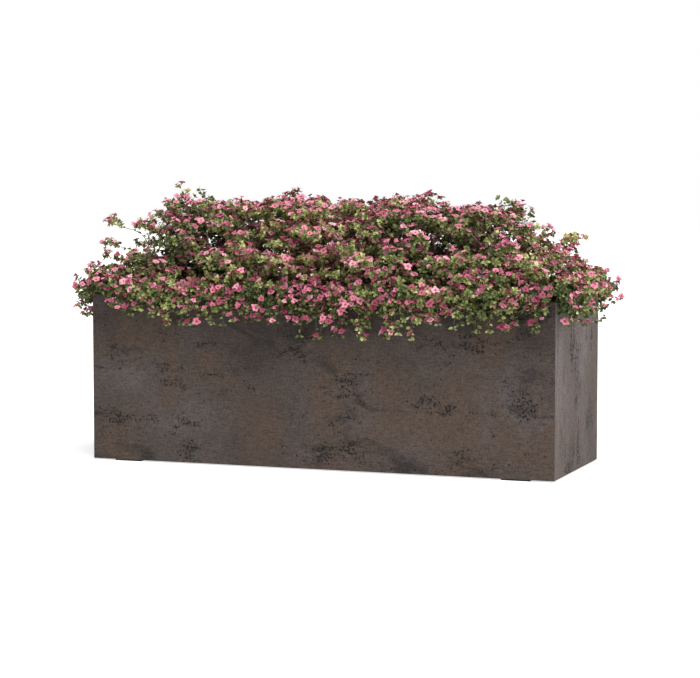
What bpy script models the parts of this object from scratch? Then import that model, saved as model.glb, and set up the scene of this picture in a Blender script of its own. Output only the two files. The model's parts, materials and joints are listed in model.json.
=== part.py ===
"""Rectangular street planter: mitred concrete panels on a slab base, with a lift-out steel liner of shrubs.

The origin is on the ground at the middle of the box. X runs along the front, -Y is the front, +Z is up.
All sizes are in metres. The liner, and all that grows in it, lifts straight up along Z.
"""

import math

import bmesh
import bpy
from mathutils import Matrix, Vector

# Box, outside sizes
LENGTH = 1.200
DEPTH = 0.420
HEIGHT = 0.420
PANEL_THICKNESS = 0.022
ARRIS = 0.0012
ARRIS_SEGMENTS = 2

# Fits
TOUCH_GAP = 0.0003
BASE_CLEARANCE = 0.002
LINER_CLEARANCE = 0.004
FLANGE_CLEARANCE = 0.003

# How far a straight edge may turn from an axis, and how near two points of a cut may be
STRAIGHT_SHARE = 0.999
CUT_TOLERANCE = 1e-7

# Bearing pads under the front and rear panels
PAD_LENGTH = 0.070
PAD_THICKNESS = 0.003
PAD_INSET = 0.060
PAD_EDGE_MARGIN = 0.002
PAD_ROUNDING = 0.0008

# Base slab and the steel ledges that carry it
BASE_THICKNESS = 0.018
LEDGE_LEAF = 0.030
LEDGE_THICKNESS = 0.003
LEDGE_GROUND_CLEARANCE = 0.005
LEDGE_END_CLEARANCE = 0.050
LEDGE_SCREW_SHARE = 0.35

# Corner angles, standing on the slab
ANGLE_LEAF = 0.040
ANGLE_THICKNESS = 0.004
ANGLE_HOLE_FROM_HEEL = 0.026
ANGLE_HOLE_FROM_END = 0.040
ANGLE_BELOW_FLANGE = 0.012

# Button-head screws, in blind sockets cast into the panels
SCREW_RADIUS = 0.004
SCREW_GRIP_IN_PANEL = 0.012
SCREW_TIP_CLEARANCE = 0.001
SCREW_HEAD_RADIUS = 0.007
SCREW_HEAD_HEIGHT = 0.0045
SCREW_CROWN_SHARE = 0.55
SCREW_EDGE_SHARE = 0.35
SCREW_TIP_SHARE = 0.8
SCREW_SIDES = 12

# Liner tub, folded from sheet
SHEET = 0.002
LINER_CORNER_RADIUS = 0.020
FLANGE_BELOW_RIM = 0.045
CORNER_SEGMENTS = 3

# Drain outlets through the liner and the slab
OUTLET_FROM_CENTRE_SHARE = 0.30
OUTLET_BORE_RADIUS = 0.011
OUTLET_WALL = 0.003
OUTLET_FLANGE_RADIUS = 0.026
OUTLET_FLANGE_THICKNESS = 0.003
OUTLET_BELOW_BASE = 0.006
BASE_HOLE_CLEARANCE = 0.008
STRAINER_THICKNESS = 0.002
STRAINER_HOLE_RADIUS = 0.0028
STRAINER_HOLE_RING = 0.0072
STRAINER_HOLES = 6
OUTLET_SIDES = 16
STRAINER_HOLE_SIDES = 6

# Lifting brackets, riveted to the liner's end walls
BRACKET_WIDTH = 0.120
BRACKET_THICKNESS = 0.004
BRACKET_BELOW_RIM = 0.006
BRACKET_BELOW_FLANGE = 0.046
BRACKET_ROUNDING = 0.012
SLOT_WIDTH = 0.060
SLOT_HEIGHT = 0.024
SLOT_ABOVE_FLANGE = 0.005
SLOT_ROUNDING = 0.009
RIVET_RADIUS = 0.004
RIVET_HEAD_RADIUS = 0.0075
RIVET_HEAD_HEIGHT = 0.003
RIVET_CROWN_SHARE = 0.5
RIVET_EDGE_SHARE = 0.3
RIVET_SPACING = 0.080
RIVET_BELOW_FLANGE = 0.025

# Filling
GRAVEL_DEPTH = 0.045
FLEECE_THICKNESS = 0.002
SOIL_BELOW_FLANGE = 0.012

# Shrubs, in one row along the middle
SHRUBS = 5
BALL_TOP_RADIUS = 0.085
BALL_BOTTOM_RADIUS = 0.066
BALL_HEIGHT = 0.150
BALL_FOOT_SHARE = 0.08
BALL_SIDES = 20
STEMS = 4
STEM_RADIUS = 0.0055
STEM_TOP_RADIUS = 0.0038
STEM_RING = 0.022
STEM_SPREAD = 0.040
STEM_SIDES = 8
STEM_ROOTED = 0.010
STEM_PAST_CUT = 1.2

# Crowns of leaves, outer shapes only
CROWN_ABOVE_RIM = 0.008
CROWN_PAST_ENDS = 0.090
CROWN_PAST_SIDES = 0.060
CROWN_RISES = (0.240, 0.268, 0.256, 0.262, 0.236)
CROWN_BETWEEN = 0.002
MIDDLE_CROWN_SHARE = 1.9

# Levels and places that follow from the sizes above
PANEL_BOTTOM = PAD_THICKNESS + TOUCH_GAP
INNER_LENGTH = LENGTH - 2 * PANEL_THICKNESS
INNER_DEPTH = DEPTH - 2 * PANEL_THICKNESS
LEDGE_TOP = LEDGE_GROUND_CLEARANCE + LEDGE_LEAF
BASE_BOTTOM = LEDGE_TOP + TOUCH_GAP
BASE_TOP = BASE_BOTTOM + BASE_THICKNESS
FLANGE_TOP = HEIGHT - FLANGE_BELOW_RIM
ANGLE_BOTTOM = BASE_TOP + TOUCH_GAP
ANGLE_TOP = FLANGE_TOP - SHEET - ANGLE_BELOW_FLANGE
HARDWARE_DEPTH = TOUCH_GAP + ANGLE_THICKNESS + TOUCH_GAP + SCREW_HEAD_HEIGHT
LINER_LENGTH = INNER_LENGTH - 2 * (HARDWARE_DEPTH + LINER_CLEARANCE)
LINER_DEPTH = INNER_DEPTH - 2 * (HARDWARE_DEPTH + LINER_CLEARANCE)
LINER_BOTTOM = BASE_TOP + TOUCH_GAP
LINER_FLOOR = LINER_BOTTOM + SHEET
FILL_LENGTH = LINER_LENGTH - 2 * SHEET - 2 * TOUCH_GAP
FILL_DEPTH = LINER_DEPTH - 2 * SHEET - 2 * TOUCH_GAP
FILL_RADIUS = LINER_CORNER_RADIUS - SHEET
GRAVEL_BOTTOM = LINER_FLOOR + TOUCH_GAP
GRAVEL_TOP = GRAVEL_BOTTOM + GRAVEL_DEPTH
FLEECE_BOTTOM = GRAVEL_TOP + TOUCH_GAP
SOIL_BOTTOM = FLEECE_BOTTOM + FLEECE_THICKNESS + TOUCH_GAP
SOIL_TOP = FLANGE_TOP - SOIL_BELOW_FLANGE
OUTLET_X = OUTLET_FROM_CENTRE_SHARE * LINER_LENGTH
OUTLET_RADIUS = OUTLET_BORE_RADIUS + OUTLET_WALL
SHRUB_PITCH = FILL_LENGTH / SHRUBS
CROWN_BOTTOM = HEIGHT + CROWN_ABOVE_RIM

CONCRETE = ("cast_concrete", (0.075, 0.058, 0.050), 0.85, 0.0)
SLAB = ("plain_concrete", (0.30, 0.29, 0.27), 0.90, 0.0)
GALVANISED = ("galvanised_steel", (0.45, 0.47, 0.48), 0.45, 1.0)
STAINLESS = ("stainless_steel", (0.60, 0.60, 0.60), 0.30, 1.0)
COATED_SHEET = ("coated_sheet", (0.030, 0.031, 0.033), 0.50, 0.0)
EPDM = ("pad_rubber", (0.025, 0.025, 0.025), 0.80, 0.0)
PIPE_PLASTIC = ("pipe_plastic", (0.18, 0.18, 0.19), 0.45, 0.0)
GRAVEL = ("washed_gravel", (0.32, 0.29, 0.25), 0.90, 0.0)
FLEECE = ("filter_fleece", (0.55, 0.56, 0.55), 0.95, 0.0)
COMPOST = ("compost", (0.045, 0.030, 0.020), 0.95, 0.0)
BARK = ("bark", (0.12, 0.08, 0.05), 0.85, 0.0)
FOLIAGE = ("foliage", (0.22, 0.16, 0.09), 0.60, 0.0)


def clear_scene():
    for old in list(bpy.data.objects):
        bpy.data.objects.remove(old, do_unlink=True)


def material(finish):
    """The finish's own material, made the first time that it is asked for."""
    name, colour, roughness, metallic = finish
    made = bpy.data.materials.get(name)
    if made is None:
        made = bpy.data.materials.new(name)
        made.use_nodes = True
        shader = made.node_tree.nodes["Principled BSDF"]
        shader.inputs["Base Color"].default_value = (*colour, 1.0)
        shader.inputs["Roughness"].default_value = roughness
        shader.inputs["Metallic"].default_value = metallic
    return made


def mesh_from(name, bm):
    bmesh.ops.recalc_face_normals(bm, faces=bm.faces[:])
    mesh = bpy.data.meshes.new(name)
    bm.to_mesh(mesh)
    bm.free()
    return mesh


def place(name, mesh, finish=None, at=None):
    """An object in the scene. One with no finish is a cutter, which isn't part of the planter."""
    made = bpy.data.objects.new(name, mesh)
    bpy.context.scene.collection.objects.link(made)
    made.matrix_world = at if at is not None else Matrix()
    if finish is None:
        made.hide_render = True
        made.display_type = "WIRE"
    elif not mesh.materials:
        mesh.materials.append(material(finish))
    return made


def combine(target, other, operation):
    change = target.modifiers.new(operation.title(), "BOOLEAN")
    change.operation = operation
    change.solver = "EXACT"
    change.object = other


def smooth_round(obj, sharpest=math.radians(35)):
    obj.data.shade_smooth()
    obj.data.set_sharp_from_angle(angle=sharpest)


def add_box(bm, low, high):
    """A box between two corners, added to a bmesh. Returns its vertices."""
    low, high = Vector(low), Vector(high)
    verts = bmesh.ops.create_cube(bm, size=1.0)["verts"]
    bmesh.ops.scale(bm, vec=high - low, verts=verts)
    bmesh.ops.translate(bm, vec=(low + high) / 2, verts=verts)
    return verts


def add_cylinder(bm, radius, length, sides, at):
    """A cylinder along the Z of a matrix, centred on its origin, added to a bmesh."""
    bmesh.ops.create_cone(
        bm,
        cap_ends=True,
        segments=sides,
        radius1=radius,
        radius2=radius,
        depth=length,
        matrix=at,
    )


def saw(bm, point, normal):
    """Cuts off what lies on the normal's side of a plane, and closes the cut."""
    everything = bm.verts[:] + bm.edges[:] + bm.faces[:]
    cut = bmesh.ops.bisect_plane(
        bm, geom=everything, dist=CUT_TOLERANCE, plane_co=point, plane_no=normal, clear_outer=True
    )
    rim = [g for g in cut["geom_cut"] if isinstance(g, bmesh.types.BMEdge)]
    bmesh.ops.holes_fill(bm, edges=rim, sides=0)


def bevel(bm, edges, width, segments):
    bmesh.ops.bevel(
        bm,
        geom=edges,
        offset=width,
        segments=segments,
        affect="EDGES",
        profile=0.5,
        material=-1,
        clamp_overlap=True,
    )


def edges_along(bm, axis):
    """The straight edges that run along one axis, 0 for X, 1 for Y or 2 for Z."""
    found = []
    for edge in bm.edges:
        run = edge.verts[1].co - edge.verts[0].co
        if abs(run[axis]) > STRAIGHT_SHARE * run.length:
            found.append(edge)
    return found


def rounded_box(low, high, radius, axis=2, segments=CORNER_SEGMENTS):
    """A box whose four edges along one axis are rounded."""
    bm = bmesh.new()
    add_box(bm, low, high)
    bevel(bm, edges_along(bm, axis), radius, segments)
    return bm


def turned(name, profile, sides, ring=False):
    """A shape turned about Z from (radius, height) points. A ring's profile is a closed loop."""
    bm = bmesh.new()
    points = [bm.verts.new((radius, 0.0, height)) for radius, height in profile]
    pairs = list(zip(points, points[1:]))
    if ring:
        pairs.append((points[-1], points[0]))
    edges = [bm.edges.new(pair) for pair in pairs]
    bmesh.ops.spin(
        bm,
        geom=points + edges,
        cent=(0, 0, 0),
        axis=(0, 0, 1),
        angle=2 * math.pi,
        steps=sides,
        use_merge=True,
        use_duplicate=False,
    )
    bmesh.ops.remove_doubles(bm, verts=bm.verts[:], dist=1e-6)
    return mesh_from(name, bm)


def prism(outline, length):
    """An outline in XY, extruded along Z from 0."""
    bm = bmesh.new()
    face = bm.faces.new([bm.verts.new((x, y, 0.0)) for x, y in outline])
    raised = bmesh.ops.extrude_face_region(bm, geom=[face])
    tops = [g for g in raised["geom"] if isinstance(g, bmesh.types.BMVert)]
    bmesh.ops.translate(bm, vec=(0, 0, length), verts=tops)
    return bm


# The two long panels and the two end panels are one shape: a board with its ends sawn at 45 degrees.
# Each is drawn as the front panel would be, and turned about Z into its place.
SIDES = {
    "front_panel": (0, LENGTH, DEPTH / 2),
    "right_end_panel": (90, DEPTH, LENGTH / 2),
    "rear_panel": (180, LENGTH, DEPTH / 2),
    "left_end_panel": (270, DEPTH, LENGTH / 2),
}


def turn(degrees):
    return Matrix.Rotation(math.radians(degrees), 4, "Z")


def angle_screw_places(length):
    """(x, z) of a panel's screws through the corner angles."""
    x = length / 2 - PANEL_THICKNESS - TOUCH_GAP - ANGLE_HOLE_FROM_HEEL
    levels = (ANGLE_BOTTOM + ANGLE_HOLE_FROM_END, ANGLE_TOP - ANGLE_HOLE_FROM_END)
    return [(side * x, z) for side in (-1, 1) for z in levels]


def ledge_length():
    return INNER_LENGTH - 2 * LEDGE_END_CLEARANCE


def ledge_screw_places():
    """(x, z) of a long panel's screws through its ledge."""
    x = LEDGE_SCREW_SHARE * ledge_length()
    z = LEDGE_TOP - LEDGE_THICKNESS - (LEDGE_LEAF - LEDGE_THICKNESS) / 2
    return [(side * x, z) for side in (-1, 1)]


def into_panel(x, z, half):
    """A frame on a panel's inner face, with Z pointing into the panel."""
    y = -half + PANEL_THICKNESS
    return Matrix.Translation((x, y, z)) @ Matrix.Rotation(math.radians(90), 4, "X")


def make_panel(name):
    degrees, length, half = SIDES[name]
    bm = bmesh.new()
    add_box(
        bm,
        (-length / 2, -half, PANEL_BOTTOM),
        (length / 2, -half + PANEL_THICKNESS, HEIGHT),
    )
    for side in (-1, 1):
        normal = Vector((side, 1, 0)).normalized()
        corner = Vector((side * length / 2, -half, 0))
        saw(bm, corner - normal * TOUCH_GAP / 2, normal)
    outer = [v for v in bm.verts if abs(v.co.y + half) < TOUCH_GAP]
    top = [v for v in bm.verts if abs(v.co.z - HEIGHT) < TOUCH_GAP]
    shown = [
        e for e in bm.edges if all(v in outer for v in e.verts) or all(v in top for v in e.verts)
    ]
    bevel(bm, shown, ARRIS, ARRIS_SEGMENTS)
    panel = place(name, mesh_from(name, bm), CONCRETE, turn(degrees))

    sockets = bmesh.new()
    places = angle_screw_places(length)
    if length == LENGTH:
        places += ledge_screw_places()
    deep = SCREW_GRIP_IN_PANEL + SCREW_TIP_CLEARANCE
    for x, z in places:
        at = into_panel(x, z, half)
        add_cylinder(sockets, SCREW_RADIUS + TOUCH_GAP, 2 * deep, SCREW_SIDES, at)
    cutter = place(name + "_sockets", mesh_from(name + "_sockets", sockets), None, turn(degrees))
    combine(panel, cutter, "DIFFERENCE")


def screw_mesh(name, plate):
    """A button-head screw through a plate of this thickness. Z = 0 is the panel's face."""
    seat = -(TOUCH_GAP + plate + TOUCH_GAP)
    crown = SCREW_HEAD_RADIUS * SCREW_CROWN_SHARE
    tip = SCREW_RADIUS * SCREW_TIP_SHARE
    return turned(
        name,
        [
            (0, SCREW_GRIP_IN_PANEL),
            (tip, SCREW_GRIP_IN_PANEL),
            (SCREW_RADIUS, SCREW_GRIP_IN_PANEL - SCREW_RADIUS + tip),
            (SCREW_RADIUS, seat),
            (SCREW_HEAD_RADIUS, seat),
            (SCREW_HEAD_RADIUS, seat - SCREW_HEAD_HEIGHT * SCREW_EDGE_SHARE),
            (crown, seat - SCREW_HEAD_HEIGHT),
            (0, seat - SCREW_HEAD_HEIGHT),
        ],
        SCREW_SIDES,
    )


def make_screws():
    angle_screw = screw_mesh("angle_screw", ANGLE_THICKNESS)
    ledge_screw = screw_mesh("ledge_screw", LEDGE_THICKNESS)
    for panel, (degrees, length, half) in SIDES.items():
        side = panel.replace("_panel", "")
        for number, (x, z) in enumerate(angle_screw_places(length), 1):
            at = turn(degrees) @ into_panel(x, z, half)
            screw = place(f"{side}_angle_screw_{number}", angle_screw, STAINLESS, at)
            smooth_round(screw)
        if length != LENGTH:
            continue
        for number, (x, z) in enumerate(ledge_screw_places(), 1):
            at = turn(degrees) @ into_panel(x, z, half)
            screw = place(f"{side}_ledge_screw_{number}", ledge_screw, STAINLESS, at)
            smooth_round(screw)


def make_corner_angles():
    """Four equal angles, each with its heel in a corner of the box."""
    leaf, thick = ANGLE_LEAF, ANGLE_THICKNESS
    outline = [(0, 0), (0, leaf), (-thick, leaf), (-thick, thick), (-leaf, thick), (-leaf, 0)]
    height = ANGLE_TOP - ANGLE_BOTTOM
    mesh = mesh_from("corner_angle", prism(outline, height))
    across = Matrix.Rotation(math.radians(90), 4, "X")
    along = Matrix.Rotation(math.radians(90), 4, "Y")
    holes = bmesh.new()
    for z in (ANGLE_HOLE_FROM_END, height - ANGLE_HOLE_FROM_END):
        radius = SCREW_RADIUS + TOUCH_GAP
        front = Matrix.Translation((-ANGLE_HOLE_FROM_HEEL, 0, z)) @ across
        end = Matrix.Translation((0, ANGLE_HOLE_FROM_HEEL, z)) @ along
        add_cylinder(holes, radius, 3 * thick, SCREW_SIDES, front)
        add_cylinder(holes, radius, 3 * thick, SCREW_SIDES, end)
    hole_mesh = mesh_from("corner_angle_holes", holes)
    x = INNER_LENGTH / 2 - TOUCH_GAP
    y = INNER_DEPTH / 2 - TOUCH_GAP
    corners = {
        "front_right": (0, x, -y),
        "rear_right": (90, x, y),
        "rear_left": (180, -x, y),
        "front_left": (270, -x, -y),
    }
    for corner, (degrees, cx, cy) in corners.items():
        at = Matrix.Translation((cx, cy, ANGLE_BOTTOM)) @ turn(degrees)
        angle = place(f"{corner}_corner_angle", mesh, GALVANISED, at)
        cutter = place(f"{corner}_angle_holes", hole_mesh, None, at)
        combine(angle, cutter, "DIFFERENCE")


def make_ledges():
    """Two angles under the slab, each with its upright leaf on a long panel."""
    leaf, thick = LEDGE_LEAF, LEDGE_THICKNESS
    outline = [(0, 0), (leaf, 0), (leaf, -thick), (thick, -thick), (thick, -leaf), (0, -leaf)]
    length = ledge_length()
    mesh = mesh_from("base_ledge", prism(outline, length))
    lay = Matrix(((0, 0, 1, 0), (1, 0, 0, 0), (0, 1, 0, 0), (0, 0, 0, 1)))
    half = DEPTH / 2
    holes = bmesh.new()
    for x, z in ledge_screw_places():
        at = into_panel(x, z, half)
        add_cylinder(holes, SCREW_RADIUS + TOUCH_GAP, 4 * thick, SCREW_SIDES, at)
    hole_mesh = mesh_from("base_ledge_holes", holes)
    for name, degrees in (("front_base_ledge", 0), ("rear_base_ledge", 180)):
        start = Vector((-length / 2, -INNER_DEPTH / 2 + TOUCH_GAP, LEDGE_TOP))
        at = turn(degrees) @ Matrix.Translation(start) @ lay
        ledge = place(name, mesh, GALVANISED, at)
        cutter = place(name + "_holes", hole_mesh, None, turn(degrees))
        combine(ledge, cutter, "DIFFERENCE")


def make_pads():
    """Four rubber pads, under the long panels near their ends."""
    bm = bmesh.new()
    width = PANEL_THICKNESS - 2 * PAD_EDGE_MARGIN
    add_box(bm, (-PAD_LENGTH / 2, -width / 2, 0), (PAD_LENGTH / 2, width / 2, PAD_THICKNESS))
    upper = [e for e in bm.edges if all(v.co.z > PAD_THICKNESS / 2 for v in e.verts)]
    bevel(bm, upper, PAD_ROUNDING, ARRIS_SEGMENTS)
    mesh = mesh_from("bearing_pad", bm)
    x = LENGTH / 2 - PAD_INSET - PAD_LENGTH / 2
    y = DEPTH / 2 - PANEL_THICKNESS / 2
    for row, cy in (("front", -y), ("rear", y)):
        for side, cx in (("left", -x), ("right", x)):
            place(f"{row}_{side}_bearing_pad", mesh, EPDM, Matrix.Translation((cx, cy, 0)))


def outlet_holes(radius, low, high):
    """Upright cutters at the two drain outlets."""
    bm = bmesh.new()
    for side in (-1, 1):
        at = Matrix.Translation((side * OUTLET_X, 0, (low + high) / 2))
        add_cylinder(bm, radius, high - low, OUTLET_SIDES, at)
    return bm


def make_base():
    bm = bmesh.new()
    x = INNER_LENGTH / 2 - BASE_CLEARANCE
    y = INNER_DEPTH / 2 - BASE_CLEARANCE
    add_box(bm, (-x, -y, BASE_BOTTOM), (x, y, BASE_TOP))
    bevel(bm, edges_along(bm, 0) + edges_along(bm, 1), ARRIS, 1)
    base = place("base_slab", mesh_from("base_slab", bm), SLAB)
    holes = outlet_holes(
        OUTLET_RADIUS + BASE_HOLE_CLEARANCE,
        BASE_BOTTOM - BASE_THICKNESS,
        BASE_TOP + BASE_THICKNESS,
    )
    combine(base, place("base_holes", mesh_from("base_holes", holes)), "DIFFERENCE")


def make_liner():
    """A tub with a flange turned outwards, open at the top, with holes for the outlets and the rivets."""
    x, y = LINER_LENGTH / 2, LINER_DEPTH / 2
    bm = rounded_box((-x, -y, LINER_BOTTOM), (x, y, FLANGE_TOP), LINER_CORNER_RADIUS)
    liner = place("liner_tub", mesh_from("liner_tub", bm), COATED_SHEET)

    wide = HARDWARE_DEPTH + LINER_CLEARANCE - FLANGE_CLEARANCE
    bm = rounded_box(
        (-x - wide, -y - wide, FLANGE_TOP - SHEET),
        (x + wide, y + wide, FLANGE_TOP),
        LINER_CORNER_RADIUS + wide,
    )
    combine(liner, place("liner_flange", mesh_from("liner_flange", bm)), "UNION")

    bm = rounded_box(
        (-x + SHEET, -y + SHEET, LINER_FLOOR),
        (x - SHEET, y - SHEET, FLANGE_TOP + SHEET),
        FILL_RADIUS,
    )
    combine(liner, place("liner_hollow", mesh_from("liner_hollow", bm)), "DIFFERENCE")

    low = LINER_BOTTOM - SHEET
    high = LINER_FLOOR + SHEET
    holes = outlet_holes(OUTLET_RADIUS + TOUCH_GAP, low, high)
    along = Matrix.Rotation(math.radians(90), 4, "Y")
    for rx, ry, rz in rivet_places():
        at = Matrix.Translation((rx, ry, rz)) @ along
        add_cylinder(holes, RIVET_RADIUS + TOUCH_GAP, 6 * SHEET, SCREW_SIDES, at)
    combine(liner, place("liner_holes", mesh_from("liner_holes", holes)), "DIFFERENCE")
    return liner


def bracket_face():
    """X of the liner's end wall, inside."""
    return LINER_LENGTH / 2 - SHEET


def rivet_places():
    """Points on the inner faces of the end walls."""
    z = FLANGE_TOP - RIVET_BELOW_FLANGE
    x = bracket_face()
    return [(side * x, row * RIVET_SPACING / 2, z) for side in (-1, 1) for row in (-1, 1)]


def make_outlets():
    """Two flanged drain tubes, dropped through the liner's floor, each with a strainer on top."""
    bore, outer = OUTLET_BORE_RADIUS, OUTLET_RADIUS
    flange_low = LINER_FLOOR + TOUCH_GAP
    flange_top = flange_low + OUTLET_FLANGE_THICKNESS
    foot = BASE_BOTTOM - OUTLET_BELOW_BASE
    profile = [
        (bore, foot),
        (outer, foot),
        (outer, flange_low),
        (OUTLET_FLANGE_RADIUS, flange_low),
        (OUTLET_FLANGE_RADIUS, flange_top),
        (bore, flange_top),
    ]
    outlet_mesh = turned("drain_outlet", profile, OUTLET_SIDES, ring=True)
    seat = flange_top + TOUCH_GAP
    disc = [
        (0, seat),
        (OUTLET_FLANGE_RADIUS, seat),
        (OUTLET_FLANGE_RADIUS, seat + STRAINER_THICKNESS),
        (0, seat + STRAINER_THICKNESS),
    ]
    disc_mesh = turned("drain_strainer", disc, OUTLET_SIDES)
    bm = bmesh.new()
    for number in range(STRAINER_HOLES + 1):
        radius = STRAINER_HOLE_RING if number else 0.0
        turned_by = 2 * math.pi * number / STRAINER_HOLES
        centre = Vector((radius * math.cos(turned_by), radius * math.sin(turned_by), seat))
        at = Matrix.Translation(centre)
        add_cylinder(bm, STRAINER_HOLE_RADIUS, 4 * STRAINER_THICKNESS, STRAINER_HOLE_SIDES, at)
    hole_mesh = mesh_from("strainer_holes", bm)
    made = []
    for side, sign in (("left", -1), ("right", 1)):
        at = Matrix.Translation((sign * OUTLET_X, 0, 0))
        outlet = place(f"{side}_drain_outlet", outlet_mesh, PIPE_PLASTIC, at)
        strainer = place(f"{side}_drain_strainer", disc_mesh, PIPE_PLASTIC, at)
        combine(strainer, place(f"{side}_strainer_holes", hole_mesh, None, at), "DIFFERENCE")
        smooth_round(outlet)
        made += [outlet, strainer]
    return made


def make_brackets():
    """A slotted lifting plate on each end wall of the liner, held by two rivets."""
    outer = SHEET + TOUCH_GAP
    inner = -BRACKET_THICKNESS - 2 * TOUCH_GAP
    crown = RIVET_HEAD_RADIUS * RIVET_CROWN_SHARE
    edge = RIVET_HEAD_HEIGHT * RIVET_EDGE_SHARE
    rivet = turned(
        "bracket_rivet",
        [
            (0, outer + RIVET_HEAD_HEIGHT),
            (crown, outer + RIVET_HEAD_HEIGHT),
            (RIVET_HEAD_RADIUS, outer + edge),
            (RIVET_HEAD_RADIUS, outer),
            (RIVET_RADIUS, outer),
            (RIVET_RADIUS, inner),
            (RIVET_HEAD_RADIUS, inner),
            (RIVET_HEAD_RADIUS, inner - edge),
            (crown, inner - RIVET_HEAD_HEIGHT),
            (0, inner - RIVET_HEAD_HEIGHT),
        ],
        SCREW_SIDES,
    )
    along = Matrix.Rotation(math.radians(90), 4, "Y")
    made = []
    for side, sign in (("left", -1), ("right", 1)):
        near = sign * (bracket_face() - TOUCH_GAP)
        far = near - sign * BRACKET_THICKNESS
        low = (min(near, far), -BRACKET_WIDTH / 2, FLANGE_TOP - BRACKET_BELOW_FLANGE)
        high = (max(near, far), BRACKET_WIDTH / 2, HEIGHT - BRACKET_BELOW_RIM)
        bm = rounded_box(low, high, BRACKET_ROUNDING, axis=0)
        name = f"{side}_lifting_bracket"
        bracket = place(name, mesh_from(name, bm), GALVANISED)

        slot_low = FLANGE_TOP + SLOT_ABOVE_FLANGE
        past = BRACKET_THICKNESS
        cuts = rounded_box(
            (low[0] - past, -SLOT_WIDTH / 2, slot_low),
            (high[0] + past, SLOT_WIDTH / 2, slot_low + SLOT_HEIGHT),
            SLOT_ROUNDING,
            axis=0,
        )
        places = [p for p in rivet_places() if p[0] * sign > 0]
        for point in places:
            at = Matrix.Translation(point) @ along
            add_cylinder(cuts, RIVET_RADIUS + TOUCH_GAP, 4 * BRACKET_THICKNESS, SCREW_SIDES, at)
        combine(bracket, place(name + "_cuts", mesh_from(name + "_cuts", cuts)), "DIFFERENCE")
        made.append(bracket)

        outward = Matrix.Rotation(math.radians(90 * sign), 4, "Y")
        for number, point in enumerate(places, 1):
            at = Matrix.Translation(point) @ outward
            fixed = place(f"{side}_bracket_rivet_{number}", rivet, GALVANISED, at)
            smooth_round(fixed)
            made.append(fixed)
    return made


def filling(name, bottom, top, finish):
    x, y = FILL_LENGTH / 2, FILL_DEPTH / 2
    bm = rounded_box((-x, -y, bottom), (x, y, top), FILL_RADIUS)
    return place(name, mesh_from(name, bm), finish)


def shrub_x(number):
    return (number - (SHRUBS - 1) / 2) * SHRUB_PITCH


def ball_outline(grow=0.0):
    """A root ball's (radius, height) outline, its top level with the soil."""
    foot = SOIL_TOP - BALL_HEIGHT - grow
    soft = BALL_TOP_RADIUS * BALL_FOOT_SHARE
    return [
        (0, foot),
        (BALL_BOTTOM_RADIUS + grow - soft, foot),
        (BALL_BOTTOM_RADIUS + grow, foot + soft),
        (BALL_TOP_RADIUS + grow, SOIL_TOP),
        (0, SOIL_TOP),
    ]


def make_filling():
    """Gravel, fleece and soil, each cut where something else lies in it."""
    gravel = filling("drainage_gravel", GRAVEL_BOTTOM, GRAVEL_TOP, GRAVEL)
    stack = OUTLET_FLANGE_THICKNESS + STRAINER_THICKNESS + 2 * TOUCH_GAP
    holes = outlet_holes(
        OUTLET_FLANGE_RADIUS + TOUCH_GAP, LINER_BOTTOM, LINER_FLOOR + stack + TOUCH_GAP
    )
    combine(gravel, place("gravel_holes", mesh_from("gravel_holes", holes)), "DIFFERENCE")

    fleece = filling("filter_fleece", FLEECE_BOTTOM, FLEECE_BOTTOM + FLEECE_THICKNESS, FLEECE)

    soil = filling("soil", SOIL_BOTTOM, SOIL_TOP, COMPOST)
    pocket = ball_outline(grow=TOUCH_GAP)
    pocket[-1] = (0, SOIL_TOP + TOUCH_GAP)
    pocket.insert(-1, (BALL_TOP_RADIUS + TOUCH_GAP, SOIL_TOP + TOUCH_GAP))
    pocket_mesh = turned("root_pocket", pocket, BALL_SIDES)
    for number in range(SHRUBS):
        at = Matrix.Translation((shrub_x(number), 0, 0))
        combine(soil, place(f"root_pocket_{number + 1}", pocket_mesh, None, at), "DIFFERENCE")

    bm = bmesh.new()
    thick = BRACKET_THICKNESS + 2 * TOUCH_GAP + RIVET_HEAD_HEIGHT + TOUCH_GAP
    wide = BRACKET_WIDTH / 2 + TOUCH_GAP
    foot = FLANGE_TOP - BRACKET_BELOW_FLANGE - TOUCH_GAP
    for sign in (-1, 1):
        ends = sorted((sign * (bracket_face() - thick), sign * (bracket_face() + SHEET)))
        add_box(bm, (ends[0], -wide, foot), (ends[1], wide, FLANGE_TOP))
    combine(soil, place("bracket_pockets", mesh_from("bracket_pockets", bm)), "DIFFERENCE")
    return [gravel, fleece, soil]


def make_stems():
    """The stems of one shrub, which leave the root ball apart and lean outwards to the crown."""
    bm = bmesh.new()
    foot = SOIL_TOP - STEM_ROOTED
    top = CROWN_BOTTOM - TOUCH_GAP
    for number in range(STEMS):
        way = math.pi * (2 * number + 1) / STEMS
        out = Vector((math.cos(way), math.sin(way), 0))
        start = out * STEM_RING + Vector((0, 0, foot))
        lean = out * STEM_SPREAD + Vector((0, 0, top - foot))
        run = lean * STEM_PAST_CUT
        at = Matrix.Translation(start + run / 2) @ run.to_track_quat("Z", "Y").to_matrix().to_4x4()
        bmesh.ops.create_cone(
            bm,
            cap_ends=True,
            segments=STEM_SIDES,
            radius1=STEM_RADIUS,
            radius2=STEM_TOP_RADIUS,
            depth=run.length,
            matrix=at,
        )
    saw(bm, (0, 0, top), (0, 0, 1))
    return mesh_from("stems", bm)


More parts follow.
